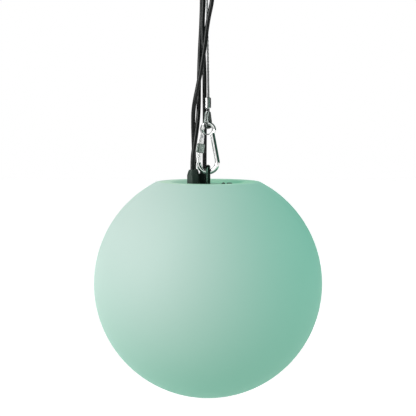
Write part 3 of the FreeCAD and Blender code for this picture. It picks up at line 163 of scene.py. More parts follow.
# bare metals: colour in the haze and out of it, roughness out of the haze and in it, and depth
# of the hairlines
METALS = {
    "polished_steel": ((0.62, 0.63, 0.62), (0.90, 0.91, 0.90), 0.05, 0.13, 2 * MICRON),
    # the green tint of the sleeve steel is a painted reflection of the globe's green glow
    "sleeve_steel_painted_reflection": ((0.10, 0.14, 0.12), (0.38, 0.45, 0.41), 0.14, 0.30, 5 * MICRON),
    # the green tint of the dark steel is a painted reflection of the globe's green glow
    "dark_steel": ((0.010, 0.018, 0.014), (0.026, 0.050, 0.038), 0.20, 0.36, 6 * MICRON),
    "spring_steel": ((0.22, 0.23, 0.24), (0.50, 0.51, 0.52), 0.16, 0.30, 4 * MICRON),
    # the green tint of the thimble steel is a painted reflection of the globe's green glow
    "thimble_steel": ((0.020, 0.026, 0.023), (0.075, 0.088, 0.082), 0.16, 0.30, 4 * MICRON),
    "bright_screws": ((0.34, 0.35, 0.35), (0.66, 0.67, 0.66), 0.16, 0.30, 5 * MICRON),
    "insert_brass": ((0.36, 0.24, 0.08), (0.72, 0.53, 0.22), 0.20, 0.40, 20 * MICRON),
    "contact_brass": ((0.48, 0.33, 0.11), (0.86, 0.66, 0.28), 0.12, 0.26, 10 * MICRON),
    "sink_aluminium": ((0.50, 0.51, 0.52), (0.76, 0.77, 0.78), 0.28, 0.42, 20 * MICRON),
}

# rubber and nylon: colour where clean and where dusty, roughness where clean, and depth of the
# streaks
RUBBERS = {
    "lead_tail_jacket": ((0.010, 0.011, 0.011), (0.040, 0.043, 0.043), 0.36, 30 * MICRON),
    # the green tint of the black gland nylon is painted green light from the globe
    "gland_nylon": ((0.020, 0.033, 0.027), (0.050, 0.070, 0.060), 0.24, 8 * MICRON),
    "vent_nylon": ((0.004, 0.005, 0.005), (0.016, 0.019, 0.018), 0.34, 8 * MICRON),
    "plug_rubber": ((0.014, 0.015, 0.015), (0.045, 0.048, 0.048), 0.42, 20 * MICRON),
    "plug_nylon": ((0.016, 0.017, 0.018), (0.050, 0.053, 0.055), 0.30, 10 * MICRON),
    "seal_rubber": ((0.010, 0.010, 0.010), (0.035, 0.035, 0.034), 0.55, 20 * MICRON),
    "driver_case": ((0.030, 0.030, 0.033), (0.080, 0.080, 0.085), 0.32, 10 * MICRON),
    "terminal_grey": ((0.20, 0.22, 0.23), (0.30, 0.32, 0.33), 0.34, 10 * MICRON),
}

# printed boards: colour over the copper runs and between them, and runs in each metre
BOARDS = {
    "board_white": ((0.70, 0.71, 0.68), (0.78, 0.79, 0.77), 260.0),
    "board_green": ((0.040, 0.180, 0.070), (0.010, 0.085, 0.032), 420.0),
}


# ---------------------------------------------------------------- stage

WHITE = (1.0, 1.0, 1.0)
BLACK = (0.0, 0.0, 0.0)

# what gloss sees all round, from behind by the left, the front and the right: white paper with
# a bright strip lamp in it, black flags at both sides, and a strip of the globe's own green
PAPER = (0.95, 0.96, 0.95)
STRIP_LAMP = (11.0, 11.2, 11.0)
FLAG = (0.010, 0.013, 0.012)
GREEN_STRIP = (0.05, 0.26, 0.17)
ROOM_ROUND = (
    (0.00, PAPER), (0.025, PAPER), (0.045, FLAG), (0.20, FLAG), (0.23, PAPER), (0.305, PAPER),
    (0.315, STRIP_LAMP), (0.385, STRIP_LAMP), (0.395, PAPER), (0.50, PAPER), (0.54, FLAG),
    (0.66, FLAG), (0.69, GREEN_STRIP), (0.72, GREEN_STRIP), (0.75, FLAG), (0.955, FLAG),
    (0.975, PAPER), (1.00, PAPER),
)

# place of each lamp from the globe's centre, and its width
KEY_LAMP = ((-1.75, -0.55, 0.25), 1.5)
FILL_LAMP = ((1.6, -1.3, 0.1), 1.2)

FLOOR_COLOUR = (0.86, 0.86, 0.86)
FLOOR_LIFT = (0.5, 0.5, 0.5)    # light that the floor gives off where it is looked at
FLOOR_HALF = 14.0
FLOOR_CELLS = 8
SENSOR_WIDTH = 36.0             # millimetres, as the lens
SEEING_RAYS = ("Is Camera Ray", "Is Glossy Ray", "Is Transmission Ray")


# ---------------------------------------------------------------- shader sums


class Amount:
    """A number that varies over a surface; a sum on it adds the Math node that it needs."""

    def __init__(self, nodes, socket):
        self.nodes = nodes
        self.socket = socket

    def sum(self, operation, first, second):
        return self.nodes.node("ShaderNodeMath", {"operation": operation}, {0: first, 1: second})

    def __add__(self, other):
        return self.sum("ADD", self, other)

    def __radd__(self, other):
        return self.sum("ADD", other, self)

    def __sub__(self, other):
        return self.sum("SUBTRACT", self, other)

    def __rsub__(self, other):
        return self.sum("SUBTRACT", other, self)

    def __mul__(self, other):
        return self.sum("MULTIPLY", self, other)

    def __rmul__(self, other):
        return self.sum("MULTIPLY", other, self)

    def __truediv__(self, other):
        return self.sum("DIVIDE", self, other)

    def __rtruediv__(self, other):
        return self.sum("DIVIDE", other, self)

    def __pow__(self, other):
        return self.sum("POWER", self, other)

    def __rpow__(self, other):
        return self.sum("POWER", other, self)

    def __gt__(self, other):
        return self.sum("GREATER_THAN", self, other)

    def __lt__(self, other):
        return self.sum("LESS_THAN", self, other)


class Nodes:
    """A node tree with the patterns and sums that the finishes and the room are made of."""

    def __init__(self, tree):
        self.tree = tree

    def node(self, kind, settings=None, inputs=None, output=0):
        """A new node with its settings, such as a ramp's stops, and the values of its sockets."""
        made = self.tree.nodes.new(kind)
        for key, value in (settings or {}).items():
            if key == "stops":
                self.set_stops(made.color_ramp, value)
            else:
                setattr(made, key, value)
        for key, value in (inputs or {}).items():
            self.feed(made.inputs[key], value)
        return Amount(self, made.outputs[output])

    def set_stops(self, ramp, stops):
        while len(ramp.elements) < len(stops):
            ramp.elements.new(1.0)
        for element, (place, colour) in zip(ramp.elements, stops):
            element.position = place
            element.color = (*colour, 1.0)

    def feed(self, socket, value):
        """Links the socket to a varying value, or sets a constant on the socket itself."""
        if isinstance(value, Amount):
            self.tree.links.new(value.socket, socket)
        elif socket.type == "RGBA" and len(value) == 3:
            socket.default_value = (*value, 1.0)
        else:
            socket.default_value = value

    def place(self, scale=(1.0, 1.0, 1.0), turn=(0.0, 0.0, 0.0)):
        """The point on the piece, in metres, stretched and turned as a pattern needs."""
        spot = self.node("ShaderNodeTexCoord", output="Object")
        moves = {"Vector": spot, "Scale": scale, "Rotation": turn}
        return self.node("ShaderNodeMapping", None, moves)

    def along(self, scale=(1.0, 1.0, 1.0)):
        """The point on the piece's own map: once along it and once round it."""
        spot = self.node("ShaderNodeUVMap", {"uv_map": "UVMap"})
        return self.node("ShaderNodeMapping", None, {"Vector": spot, "Scale": scale})

    def parts(self, vector):
        """The three numbers of a vector."""
        split = self.node("ShaderNodeSeparateXYZ", None, {0: vector}).socket.node
        return [Amount(self, split.outputs[n]) for n in range(3)]

    def rays(self):
        """1 for rays from the camera, 1 for rays in gloss and 1 for rays through glass."""
        path = self.node("ShaderNodeLightPath").socket.node
        return [Amount(self, path.outputs[kind]) for kind in SEEING_RAYS]

    def noise(self, place, scale, detail=3.0):
        """A soft pattern from 0 to 1, with about this many patches in each metre."""
        return self.node(
            "ShaderNodeTexNoise",
            {"noise_dimensions": "3D"},
            {"Vector": place, "Scale": scale, "Detail": detail, "Roughness": 0.55},
        )

    def cells(self, place, scale, feature="F1"):
        """Small cells, by default as the distance to the middle of each."""
        return self.node(
            "ShaderNodeTexVoronoi", {"feature": feature}, {"Vector": place, "Scale": scale}
        )

    def waves(self, value):
        """0 to 1 and back, once for each unit of value."""
        angle = value * (2 * math.pi)
        return self.node("ShaderNodeMath", {"operation": "SINE"}, {0: angle}) * 0.5 + 0.5

    def between(self, value, low, high):
        """0 below low, 1 above high, and a smooth rise from one to the other."""
        return self.node(
            "ShaderNodeMapRange",
            {"interpolation_type": "SMOOTHSTEP"},
            {"Value": value, "From Min": low, "From Max": high},
        )

    def tint(self, mask, first, second):
        """The first colour where the mask is 0 and the second where it is 1."""
        return self.node(
            "ShaderNodeMix", {"data_type": "RGBA"}, {0: mask, 6: first, 7: second}, output=2
        )

    def relief(self, height, depth, before=None):
        """Bumps as deep as depth, in metres, where height goes from 0 to 1."""
        inputs = {"Strength": 1.0, "Distance": depth, "Height": height}
        if before is not None:
            inputs["Normal"] = before
        return self.node("ShaderNodeBump", None, inputs)


class Finish(Nodes):
    """A node-built material: even() sets what is the same all over, vary() what changes."""

    def __init__(self, name):
        self.material = bpy.data.materials.new(name)
        self.material.use_nodes = True
        super().__init__(self.material.node_tree)
        self.shader = self.tree.nodes["Principled BSDF"]

    def even(self, **values):
        for key, value in values.items():
            name = key.replace("_", " ").title().replace("Ior", "IOR")
            self.feed(self.shader.inputs[name], value)
        return self

    def vary(self, name, value):
        self.feed(self.shader.inputs[name], value)


# ---------------------------------------------------------------- finishes


def milky_plastic(shell):
    """Moulded polyethylene lit from inside, painted light on one side, painted shade below; fine
    grain.
    """
    made = Finish("milky_plastic")
    made.even(ior=PLASTIC_IOR, specular_ior_level=0.08, emission_strength=1.0)
    place = made.place()
    x, y, z = made.parts(place)
    clouds = made.noise(place, scale=22.0)
    grain = made.noise(place, scale=1400.0, detail=2.0)
    peel = made.noise(place, scale=260.0, detail=2.0)
    from_axis = (x * x + y * y) ** 0.5
    rim = (1.0 - made.between(from_axis, *RIM_SPAN)) * (z > RIM_Z)
    # painted light: the glow is paler towards one side, and the rim gets less of it as painted
    # shade
    to_painted_light_side = (x * PAINTED_LIGHT_SIDE_X + (z - GLOBE_Z) * PAINTED_LIGHT_SIDE_Z) / GLOBE_R
    sway = (clouds - 0.5) * CLOUD_SHARE - rim * RIM_PAINTED_SHADE_SHARE
    pale = made.between(to_painted_light_side + sway, *PAINTED_LIGHT_SPAN)
    # painted shade: the glow is dimmer towards the bottom
    under = made.between((GLOBE_Z - z) / GLOBE_R, *PAINTED_SHADE_UNDER_SPAN)
    glow = made.tint(under, made.tint(pale, shell.glow_far, shell.glow_and_painted_light), shell.glow_and_painted_shade_under)
    wall = made.tint(clouds, shell.wall_colour, shell.wall_colour_thick)
    made.vary("Base Color", made.tint(rim, wall, shell.rim_colour))
    made.vary("Emission Color", glow)
    made.vary("Roughness", 0.46 + grain * 0.1)
    orange_peel = made.relief(peel, depth=60 * MICRON)
    made.vary("Normal", made.relief(grain, depth=30 * MICRON, before=orange_peel))
    return made.material


def plate_plastic():
    """Moulded base plate: satin grey with a painted green reflection of the globe, and dust in
    its pits.
    """
    made = Finish("plate_plastic").even(ior=PLASTIC_IOR, specular_ior_level=0.45)
    place = made.place()
    dust = made.noise(place, scale=90.0, detail=5.0)
    grain = made.cells(place, scale=2400.0)
    # the green cast of both colours is a painted reflection of the globe's glow
    made.vary("Base Color", made.tint(dust, (0.16, 0.34, 0.26), (0.28, 0.48, 0.39)))
    made.vary("Roughness", 0.38 + dust * 0.25)
    made.vary("Normal", made.relief(grain, depth=50 * MICRON))
    return made.material


def metal(name):
    """Bare metal with hazy patches, fine hairlines and small pits."""
    hazy, clear, smooth, rubbed, scratch = METALS[name]
    made = Finish(name).even(metallic=1.0)
    place = made.place()
    haze = made.noise(place, scale=160.0, detail=5.0)
    brushed = made.place(scale=(1.0, 1.0, 0.06), turn=(0.1, 0.14, 0.0))
    hairs = made.noise(brushed, scale=5200.0, detail=2.0)
    pits = made.between(made.noise(place, scale=900.0, detail=1.0), low=0.62, high=0.72)
    made.vary("Base Color", made.tint(haze * 0.8 + pits * 0.2, clear, hazy))
    made.vary("Roughness", smooth + haze * (rubbed - smooth) + pits * 0.08)
    made.vary("Normal", made.relief(hairs * 0.7 + pits * -0.3, depth=scratch))
    return made.material


def crimped_aluminium():
    """Pressed soft metal: dull patches, drag lines from the die and a few bright rubs."""
    made = Finish("crimped_aluminium").even(metallic=1.0)
    place = made.place()
    haze = made.noise(place, scale=420.0, detail=5.0)
    drag = made.noise(made.place(scale=(1.0, 1.0, 0.08)), scale=3200.0)
    rubs = made.between(made.noise(place, scale=700.0, detail=2.0), low=0.56, high=0.68)
    made.vary("Base Color", made.tint(haze, (0.80, 0.81, 0.80), (0.52, 0.53, 0.53)))
    made.vary("Roughness", 0.17 + haze * 0.12 - rubs * 0.06)
    dents = made.relief(haze, depth=10 * MICRON)
    made.vary("Normal", made.relief(drag, depth=6 * MICRON, before=dents))
    return made.material


def galvanised_rope(cords):
    """Zinc-coated wires: six laid round the middle one of a strand, darker between them."""
    made = Finish("galvanised_rope").even(metallic=1.0)
    along, round_it = made.parts(made.along())[:2]
    wires = made.waves(round_it * WIRES_ROUND + along * cords.wire_turns)
    haze = made.noise(made.place(), scale=500.0, detail=4.0)
    # darker in the grooves between the wires, and a little with the haze
    dark_grooves_and_haze = (1.0 - wires) * 0.75 + haze * 0.25
    made.vary("Base Color", made.tint(dark_grooves_and_haze, (0.38, 0.39, 0.39), (0.03, 0.033, 0.032)))
    made.vary("Roughness", 0.26 + dark_grooves_and_haze * 0.3)
    made.vary("Normal", made.relief(wires, depth=120 * MICRON))
    return made.material


def rubber(name):
    """Rubber or nylon: moulding streaks, a bloom of dust and a faint orange peel."""
    clean, dusty, shine, streak = RUBBERS[name]
    made = Finish(name).even(ior=PLASTIC_IOR, specular_ior_level=0.12)
    place = made.place()
    bloom = made.noise(place, scale=130.0, detail=5.0)
    streaks = made.noise(made.place(scale=(1.0, 1.0, 0.05)), scale=2600.0, detail=2.0)
    peel = made.noise(place, scale=1700.0, detail=1.0)
    made.vary("Base Color", made.tint(bloom * 0.7 + streaks * 0.3, clean, dusty))
    made.vary("Roughness", shine + bloom * 0.16 + streaks * 0.06)
    orange_peel = made.relief(peel, depth=30 * MICRON)
    made.vary("Normal", made.relief(streaks, depth=streak, before=orange_peel))
    return made.material


def lead_jacket(cords):
    """The leads' black jacket; its streaks follow the lead on the piece's own map."""
    made = Finish("lead_jacket").even(ior=PLASTIC_IOR, specular_ior_level=0.19)
    streaks = made.noise(made.along(scale=(3.0, 34.0, 1.0)), scale=1.0)
    scuffs = made.noise(made.along(scale=(40.0, 6.0, 1.0)), scale=1.0, detail=5.0)
    bloom = made.noise(made.place(), scale=110.0, detail=4.0)
    worn = made.between(scuffs, low=0.58, high=0.75)
    dusty = bloom * 0.6 + worn * 0.4
    made.vary("Base Color", made.tint(dusty, cords.jacket_colour, cords.jacket_dust))
    made.vary("Roughness", 0.20 + bloom * 0.10 + worn * 0.12)
    scratches = made.relief(scuffs, depth=10 * MICRON)
    made.vary("Normal", made.relief(streaks, depth=20 * MICRON, before=scratches))
    return made.material


def sensor_lens():
    """Nearly black red filter of the receiver window, with a thin hard coat."""
    made = Finish("sensor_lens")
    made.even(ior=PLASTIC_IOR, specular_ior_level=0.15, coat_weight=0.08)
    place = made.place()
    swirl = made.noise(place, scale=420.0)
    fine = made.between(made.noise(place, scale=1500.0), low=0.55, high=0.75)
    made.vary("Base Color", made.tint(swirl, (0.004, 0.003, 0.003), (0.022, 0.008, 0.008)))
    made.vary("Roughness", 0.12 + fine * 0.14)
    made.vary("Normal", made.relief(fine, depth=10 * MICRON))
    return made.material


def board(name):
    """A printed board under solder mask, with copper runs that stand up a little."""
    run_colour, mask_colour, runs_in_metre = BOARDS[name]
    made = Finish(name).even(ior=PLASTIC_IOR, specular_ior_level=0.5)
    place = made.place()
    to_run = made.cells(place, scale=runs_in_metre, feature="DISTANCE_TO_EDGE")
    off_run = made.between(to_run, low=0.06, high=0.10)
    dust = made.noise(place, scale=300.0, detail=4.0)
    made.vary("Base Color", made.tint(off_run * 0.85 + dust * 0.15, run_colour, mask_colour))
    made.vary("Roughness", 0.26 + dust * 0.16)
    made.vary("Normal", made.relief(1.0 - off_run, depth=40 * MICRON))
    return made.material


def led_phosphor():
    """Yellow gel of the chips, a little uneven, under a clear skin."""
    made = Finish("led_phosphor").even(ior=GEL_IOR, coat_weight=0.4, coat_roughness=0.08)
    swirl = made.noise(made.place(), scale=600.0, detail=4.0)
    made.vary("Base Color", made.tint(swirl, (0.80, 0.58, 0.10), (0.88, 0.74, 0.26)))
    made.vary("Roughness", 0.22 + swirl * 0.2)
    made.vary("Normal", made.relief(swirl, depth=30 * MICRON))
    return made.material


def floor_paper():
    """A pale floor that is white to the camera and in reflections, and keeps its shadows."""
    made = Finish("floor_paper")
    made.even(base_color=FLOOR_COLOUR, roughness=0.9, emission_strength=1.0)
    camera, gloss, through = made.rays()
    seen = made.node(
        "ShaderNodeMath", {"operation": "MINIMUM"}, {0: camera + gloss + through, 1: 1.0}
    )
    made.vary("Emission Color", made.tint(seen, BLACK, FLOOR_LIFT))
    return made.material


# ---------------------------------------------------------------- making pieces


def finish_nodes(names, material):
    """Gives each of these nodes of the frame the material, in place of its plain one."""
    for name in names:
        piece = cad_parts[name]
        for holder in piece.material_slots:
            holder.material = material


def add_piece(name, mesh, material, body):
    """A new piece at the origin, which rides on a body of the frame if one is named."""
    piece = bpy.data.objects.new(name, mesh)
    bpy.context.scene.collection.objects.link(piece)
    mesh.materials.clear()
    mesh.materials.append(material)
    if body:
        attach(piece, body)
    return piece


def curve_of(name, routes, radius, round_steps, kind="NURBS"):
    """A curve object with one open spline for each route, as thick as radius."""
    curve = bpy.data.curves.new(name, "CURVE")
    curve.dimensions = "3D"
    curve.resolution_u = LINE_STEPS
    curve.bevel_depth = radius
    curve.bevel_resolution = round_steps
    curve.use_fill_caps = True
    for route in routes:
        spline = curve.splines.new(kind)
        spline.points.add(len(route) - 1)
        for point, place in zip(spline.points, route):
            point.co = (*place, 1.0)
        if kind == "NURBS":
            spline.order_u = 3
            spline.use_endpoint_u = True
        spline.use_smooth = True
    made = bpy.data.objects.new(name, curve)
    bpy.context.scene.collection.objects.link(made)
    return made


def mesh_of(made):
    """The curve object's mesh; the curve itself is taken away."""
    graph = bpy.context.evaluated_depsgraph_get()
    mesh = bpy.data.meshes.new_from_object(made.evaluated_get(graph))
    curve = made.data
    bpy.data.objects.remove(made)
    bpy.data.curves.remove(curve)
    return mesh


def centre_line(name, route):
    """Points along the smooth line that the route's NURBS spline follows."""
    line = mesh_of(curve_of(name, [route], 0.0, 0))
    points = [vertex.co.copy() for vertex in line.vertices]
    bpy.data.meshes.remove(line)
    return points


def rope_route():
    """Dead end, lower loop, standing part, upper loop, dead end."""
    route = []
    for loop, points in ((LOWER_LOOP, LOOP_ROUTE), (UPPER_LOOP, LOOP_ROUTE[::-1])):
        turn = math.radians(loop["yaw"])
        for across, height in points:
            route.append((
                across * math.sin(turn),
                across * math.cos(turn),
                loop["bearing"] + loop["way"] * height,
            ))
    return route


def laid_strands(line, count, ring, lay):
    """Routes of the strands that lie round the line, one turn for each lay length."""
    side = Vector((1.0, 0.0, 0.0))
    strands = [[] for strand in range(count)]
    gone = 0.0
    for place, point in enumerate(line):
        ahead = line[min(place + 1, len(line) - 1)]
        behind = line[max(place - 1, 0)]
        along = (ahead - behind).normalized()
        side = (side - along * side.dot(along)).normalized()
        other = along.cross(side)
        if place:
            gone += (point - line[place - 1]).length
        for number, strand in enumerate(strands):
            turn = 2 * math.pi * (number / count + gone / lay)
            strand.append(point + (side * math.cos(turn) + other * math.sin(turn)) * ring)
    return strands


# ---------------------------------------------------------------- sizes and colours in the panel


class GlobeLightCords(bpy.types.PropertyGroup):
    lead_diameter: bpy.props.FloatProperty(
        name="Lead diameter", description="Outside diameter of each black lead",
        default=0.0056, unit="LENGTH",
    )
    rope_diameter: bpy.props.FloatProperty(
        name="Rope diameter", description="Outside diameter of the wire rope",
        default=0.003, unit="LENGTH",
    )
    rope_lay: bpy.props.FloatProperty(
        name="Rope lay", description="Length in which a strand goes once round the rope",
        default=0.0195, unit="LENGTH",
    )
    rope_strands: bpy.props.IntProperty(
        name="Strands", description="Strands laid round the core of the rope", default=6,
    )
    wire_turns: bpy.props.FloatProperty(
        name="Wire turns", description="Times that the wires go round their strand on its way",
        default=26.0,
    )
    jacket_colour: bpy.props.FloatVectorProperty(
        name="Jacket colour", description="Black of the leads' jacket",
        default=(0.0035, 0.0040, 0.0040), subtype="COLOR",
    )
    jacket_dust: bpy.props.FloatVectorProperty(
        name="Jacket dust", description="Grey bloom where the jacket is dusty or rubbed",
        default=(0.016, 0.018, 0.018), subtype="COLOR",
    )


class GlobeLightShell(bpy.types.PropertyGroup):
    wall_colour: bpy.props.FloatVectorProperty(
        name="Wall colour", description="Colour of the milky wall in plain light",
        default=(0.251, 0.311, 0.293), subtype="COLOR",
    )
    wall_colour_thick: bpy.props.FloatVectorProperty(
        name="Wall colour, thick", description="Colour where the moulded wall is thicker",
        default=(0.241, 0.301, 0.283), subtype="COLOR",
    )
    rim_colour: bpy.props.FloatVectorProperty(
        name="Rim colour", description="Greener colour of the rim and the dish inside it",
        default=(0.230, 0.295, 0.200), subtype="COLOR",
    )
    # the glow with painted light added, on the globe's paler side
    glow_and_painted_light: bpy.props.FloatVectorProperty(
        name="Pale glow", description="Light through the wall on its pale side",
        default=(0.335, 0.437, 0.392), subtype="COLOR",
    )
    glow_far: bpy.props.FloatVectorProperty(
        name="Green glow", description="Light through the wall on its green side",
        default=(0.050, 0.307, 0.207), subtype="COLOR",
    )
    # the glow with painted shade, dimmer at the bottom of the globe
    glow_and_painted_shade_under: bpy.props.FloatVectorProperty(
        name="Glow underneath", description="Light through the wall at the bottom of the globe",
        default=(0.0, 0.219, 0.117), subtype="COLOR",
    )


class GlobeLightStage(bpy.types.PropertyGroup):
    distance: bpy.props.FloatProperty(
        name="Camera distance", description="From the globe's axis to the camera, on the level",
        default=1.1, unit="LENGTH",
    )
    height: bpy.props.FloatProperty(
        name="Camera height", description="Camera above the globe's centre",
        default=0.201, unit="LENGTH",
    )
    pitch: bpy.props.FloatProperty(
        name="Camera pitch", description="How far the camera looks down",
        default=math.radians(5.3), subtype="ANGLE",
    )
    lens: bpy.props.FloatProperty(
        name="Lens", description="Focal length for a sensor 36 mm wide", default=72.7,
    )
    floor_drop: bpy.props.FloatProperty(
        name="Floor drop", description="From the globe's lowest point down to the floor",
        default=0.55, unit="LENGTH",
    )
    key_power: bpy.props.FloatProperty(
        name="Key light", description="Power of the large soft lamp on the left", default=17.0,
    )
    fill_power: bpy.props.FloatProperty(
        name="Fill light", description="Power of the soft lamp on the right", default=3.0,
    )
    ambient: bpy.props.FloatProperty(
        name="Room light", description="Level of the even light from all round", default=0.6,
    )


# ---------------------------------------------------------------- operators


class GLOBELIGHT_OT_leads(bpy.types.Operator):
    """Three black leads from the glands up to their connectors"""

    bl_idname = "globelight.leads"
    bl_label = "Leads"

    def execute(self, context):
        cords = context.scene.globelight_cords
        finish = lead_jacket(cords)
        for name in LEADS:
            route = LEAD_ROUTES[name]
            line = centre_line(name, route)
            tube = mesh_of(curve_of(name, [route], cords.lead_diameter / 2, LEAD_ROUND_STEPS))
            piece = add_piece(name + "_lead_jacket", tube, finish, None)
            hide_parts(name + "_lead")
            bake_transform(piece)
        finish_nodes(["lead_tails"], rubber("lead_tail_jacket"))
        return {"FINISHED"}


class GLOBELIGHT_OT_wire_rope(bpy.types.Operator):
    """Laid wire rope with a loop at each end"""

    bl_idname = "globelight.wire_rope"
    bl_label = "Wire rope"

    def execute(self, context):
        cords = context.scene.globelight_cords
        route = rope_route()
        line = centre_line("rope_line", route)
        strand_d = cords.rope_diameter / STRANDS_ACROSS
        strands = laid_strands(line, cords.rope_strands, strand_d, cords.rope_lay)
        curve = curve_of("strands", [line, *strands], strand_d / 2, STRAND_ROUND_STEPS, "POLY")
        piece = add_piece(
            "wire_rope_strands", mesh_of(curve), galvanised_rope(cords), "safety_wire",
        )
        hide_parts("wire_rope")
        return {"FINISHED"}


class GLOBELIGHT_OT_rope_fittings(bpy.types.Operator):
    """Pressed ferrules and thimbles of the rope's loops"""

    bl_idname = "globelight.rope_fittings"
    bl_label = "Rope fittings"

    def execute(self, context):
        finish_nodes(["lower_thimble", "upper_thimble"], metal("thimble_steel"))
        finish_nodes(["lower_ferrule", "upper_ferrule"], crimped_aluminium())
        return {"FINISHED"}


class GLOBELIGHT_OT_snap_hook(bpy.types.Operator):
    """Snap hook with its gate, rivet, pin, spring and screw sleeve"""

    bl_idname = "globelight.snap_hook"
    bl_label = "Snap hook"

    def execute(self, context):
        finish_nodes(["hook_body", "hook_eye_ring", "gate_arm"], metal("polished_steel"))
        finish_nodes(["lock_sleeve"], metal("sleeve_steel_painted_reflection"))
        finish_nodes(["gate_rivet", "catch_pin", "gate_spring"], metal("spring_steel"))
        return {"FINISHED"}


class GLOBELIGHT_OT_globe(bpy.types.Operator):
    """Milky shell of the globe"""

    bl_idname = "globelight.globe"
    bl_label = "Globe"

    def execute(self, context):
        finish_nodes(["globe_shell"], milky_plastic(context.scene.globelight_shell))
        return {"FINISHED"}


class GLOBELIGHT_OT_base_plate(bpy.types.Operator):
    """Base plate with its screws, inserts, gasket, U bolt and window"""

    bl_idname = "globelight.base_plate"
    bl_label = "Base plate"

    def execute(self, context):
        finish_nodes(["base_plate"], plate_plastic())
        finish_nodes(["hanging_lug", "lug_washers", "lug_nuts"], metal("dark_steel"))
        finish_nodes(["plate_screws"], metal("bright_screws"))
        finish_nodes(["plate_inserts"], metal("insert_brass"))
        finish_nodes(["sensor_window"], sensor_lens())
        finish_nodes(["plate_gasket"], rubber("seal_rubber"))
        return {"FINISHED"}


class GLOBELIGHT_OT_glands(bpy.types.Operator):
    """Cable glands with their seals, washers and lock nuts, and the vent plug"""

    bl_idname = "globelight.glands"
    bl_label = "Glands"

    def execute(self, context):
        nylon = rubber("gland_nylon")
        finish_nodes([name + "_gland_body" for name in LEADS], nylon)
        finish_nodes([name + "_gland_cap" for name in LEADS], nylon)
        finish_nodes(["gland_locknuts"], nylon)
        seal = rubber("seal_rubber")
        finish_nodes([name + "_gland_seal" for name in LEADS], seal)
        finish_nodes(["gland_washers"], seal)
        finish_nodes(["vent_plug"], rubber("vent_nylon"))
        return {"FINISHED"}


class GLOBELIGHT_OT_connectors(bpy.types.Operator):
    """Connectors, coupling rings and contact pins on the leads' upper ends"""

    bl_idname = "globelight.connectors"
    bl_label = "Connectors"

    def execute(self, context):
        finish_nodes([name + "_connector" for name in LEADS], rubber("plug_rubber"))
        finish_nodes([name + "_coupling_ring" for name in LEADS], rubber("plug_nylon"))
        finish_nodes([name + "_contact_pins" for name in LEADS], metal("contact_brass"))
        return {"FINISHED"}


class GLOBELIGHT_OT_light_engine(bpy.types.Operator):
    """Pillars, heat sink, boards, driver and terminals inside the globe"""

    bl_idname = "globelight.light_engine"
    bl_label = "Light engine"

    def execute(self, context):
        finish_nodes(["heat_sink", "pillars"], metal("sink_aluminium"))
        finish_nodes(["pillar_screws", "board_screws"], metal("bright_screws"))
        finish_nodes(["led_boards"], board("board_white"))
        finish_nodes(["led_chips"], led_phosphor())
        finish_nodes(["control_board"], board("board_green"))
        finish_nodes(["driver_housing"], rubber("driver_case"))
        finish_nodes(["terminal_block"], rubber("terminal_grey"))
        return {"FINISHED"}


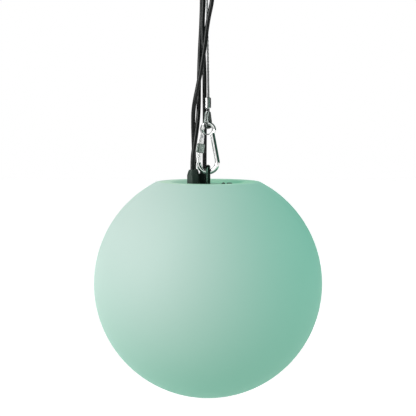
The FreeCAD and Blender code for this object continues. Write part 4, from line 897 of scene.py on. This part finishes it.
class GLOBELIGHT_OT_stage(bpy.types.Operator):
    """Plain pale floor, soft studio lamps, white room and the camera"""

    bl_idname = "globelight.stage"
    bl_label = "Stage"

    def execute(self, context):
        sizes = context.scene.globelight_stage
        context.scene.view_settings.view_transform = "Standard"
        self.add_floor(context, sizes)
        self.add_lamp(context, "key_lamp", *KEY_LAMP, sizes.key_power)
        self.add_lamp(context, "fill_lamp", *FILL_LAMP, sizes.fill_power)
        self.add_room(context, sizes)
        self.add_camera(context, sizes)
        return {"FINISHED"}

    def add_floor(self, context, sizes):
        shape = bmesh.new()
        bmesh.ops.create_grid(
            shape, x_segments=FLOOR_CELLS, y_segments=FLOOR_CELLS, size=FLOOR_HALF
        )
        low = GLOBE_Z - GLOBE_R - sizes.floor_drop
        bmesh.ops.translate(shape, verts=shape.verts, vec=(0.0, 0.0, low))
        mesh = bpy.data.meshes.new("floor")
        shape.to_mesh(mesh)
        shape.free()
        mesh.materials.append(floor_paper())
        floor = bpy.data.objects.new("floor", mesh)
        context.scene.collection.objects.link(floor)

    def add_lamp(self, context, name, place, width, power):
        """A round soft lamp that shines on the globe and isn't itself seen in gloss."""
        lamp = bpy.data.lights.new(name, "AREA")
        lamp.shape = "DISK"
        lamp.size = width
        lamp.energy = power
        holder = bpy.data.objects.new(name, lamp)
        context.scene.collection.objects.link(holder)
        holder.location = Vector((0.0, 0.0, GLOBE_Z)) + Vector(place)
        holder.rotation_mode = "QUATERNION"
        holder.rotation_quaternion = (-Vector(place)).to_track_quat("-Z", "Y")
        holder.visible_glossy = False

    def add_room(self, context, sizes):
        """White to the camera and through glass, flags to gloss and even light to all else."""
        world = bpy.data.worlds.new("room")
        context.scene.world = world
        world.use_nodes = True
        made = Nodes(world.node_tree)
        camera, gloss, through = made.rays()
        x, y = made.parts(made.node("ShaderNodeTexCoord", output="Generated"))[:2]
        turn = made.node("ShaderNodeMath", {"operation": "ARCTAN2"}, {0: x, 1: 0.0 - y})
        flags = made.node(
            "ShaderNodeValToRGB", {"stops": ROOM_ROUND}, {0: turn / (2 * math.pi) + 0.5}
        )
        lit = made.tint(gloss, (sizes.ambient,) * 3, flags)
        seen = made.tint(camera, made.tint(through, lit, WHITE), WHITE)
        made.feed(world.node_tree.nodes["Background"].inputs["Color"], seen)

    def add_camera(self, context, sizes):
        camera = bpy.data.cameras.new("camera")
        camera.lens = sizes.lens
        camera.sensor_width = SENSOR_WIDTH
        holder = bpy.data.objects.new("camera", camera)
        context.scene.collection.objects.link(holder)
        holder.location = (0.0, -sizes.distance, GLOBE_Z + sizes.height)
        holder.rotation_euler = (math.radians(90.0) - sizes.pitch, 0.0, 0.0)
        context.scene.camera = holder


OPERATORS = (
    GLOBELIGHT_OT_leads,
    GLOBELIGHT_OT_wire_rope,
    GLOBELIGHT_OT_rope_fittings,
    GLOBELIGHT_OT_snap_hook,
    GLOBELIGHT_OT_globe,
    GLOBELIGHT_OT_base_plate,
    GLOBELIGHT_OT_glands,
    GLOBELIGHT_OT_connectors,
    GLOBELIGHT_OT_light_engine,
    GLOBELIGHT_OT_stage,
)
GROUPS = {
    "globelight_cords": GlobeLightCords,
    "globelight_shell": GlobeLightShell,
    "globelight_stage": GlobeLightStage,
}


class GLOBELIGHT_PT_panel(bpy.types.Panel):
    """Lists the steps that dress the light, in their order"""

    bl_idname = "GLOBELIGHT_PT_panel"
    bl_label = "Globe Light"
    bl_space_type = "VIEW_3D"
    bl_region_type = "UI"
    bl_category = "Globe Light"

    def draw(self, context):
        for step in OPERATORS:
            self.layout.operator(step.bl_idname)
        for name in GROUPS:
            box = self.layout.box()
            sizes = getattr(context.scene, name)
            for key in sizes.bl_rna.properties.keys():
                if key not in ("rna_type", "name"):
                    box.prop(sizes, key)


def register():
    for group in GROUPS.values():
        bpy.utils.register_class(group)
    for name, group in GROUPS.items():
        setattr(bpy.types.Scene, name, bpy.props.PointerProperty(type=group))
    for step in OPERATORS:
        bpy.utils.register_class(step)
    bpy.utils.register_class(GLOBELIGHT_PT_panel)


def unregister():
    bpy.utils.unregister_class(GLOBELIGHT_PT_panel)
    for step in reversed(OPERATORS):
        bpy.utils.unregister_class(step)
    for name, group in GROUPS.items():
        delattr(bpy.types.Scene, name)
        bpy.utils.unregister_class(group)


def main():
    register()
    bpy.ops.globelight.leads()
    bpy.ops.globelight.wire_rope()
    bpy.ops.globelight.rope_fittings()
    bpy.ops.globelight.snap_hook()
    bpy.ops.globelight.globe()
    bpy.ops.globelight.base_plate()
    bpy.ops.globelight.glands()
    bpy.ops.globelight.connectors()
    bpy.ops.globelight.light_engine()
    bpy.ops.globelight.stage()


if __name__ == "__main__":
    main()
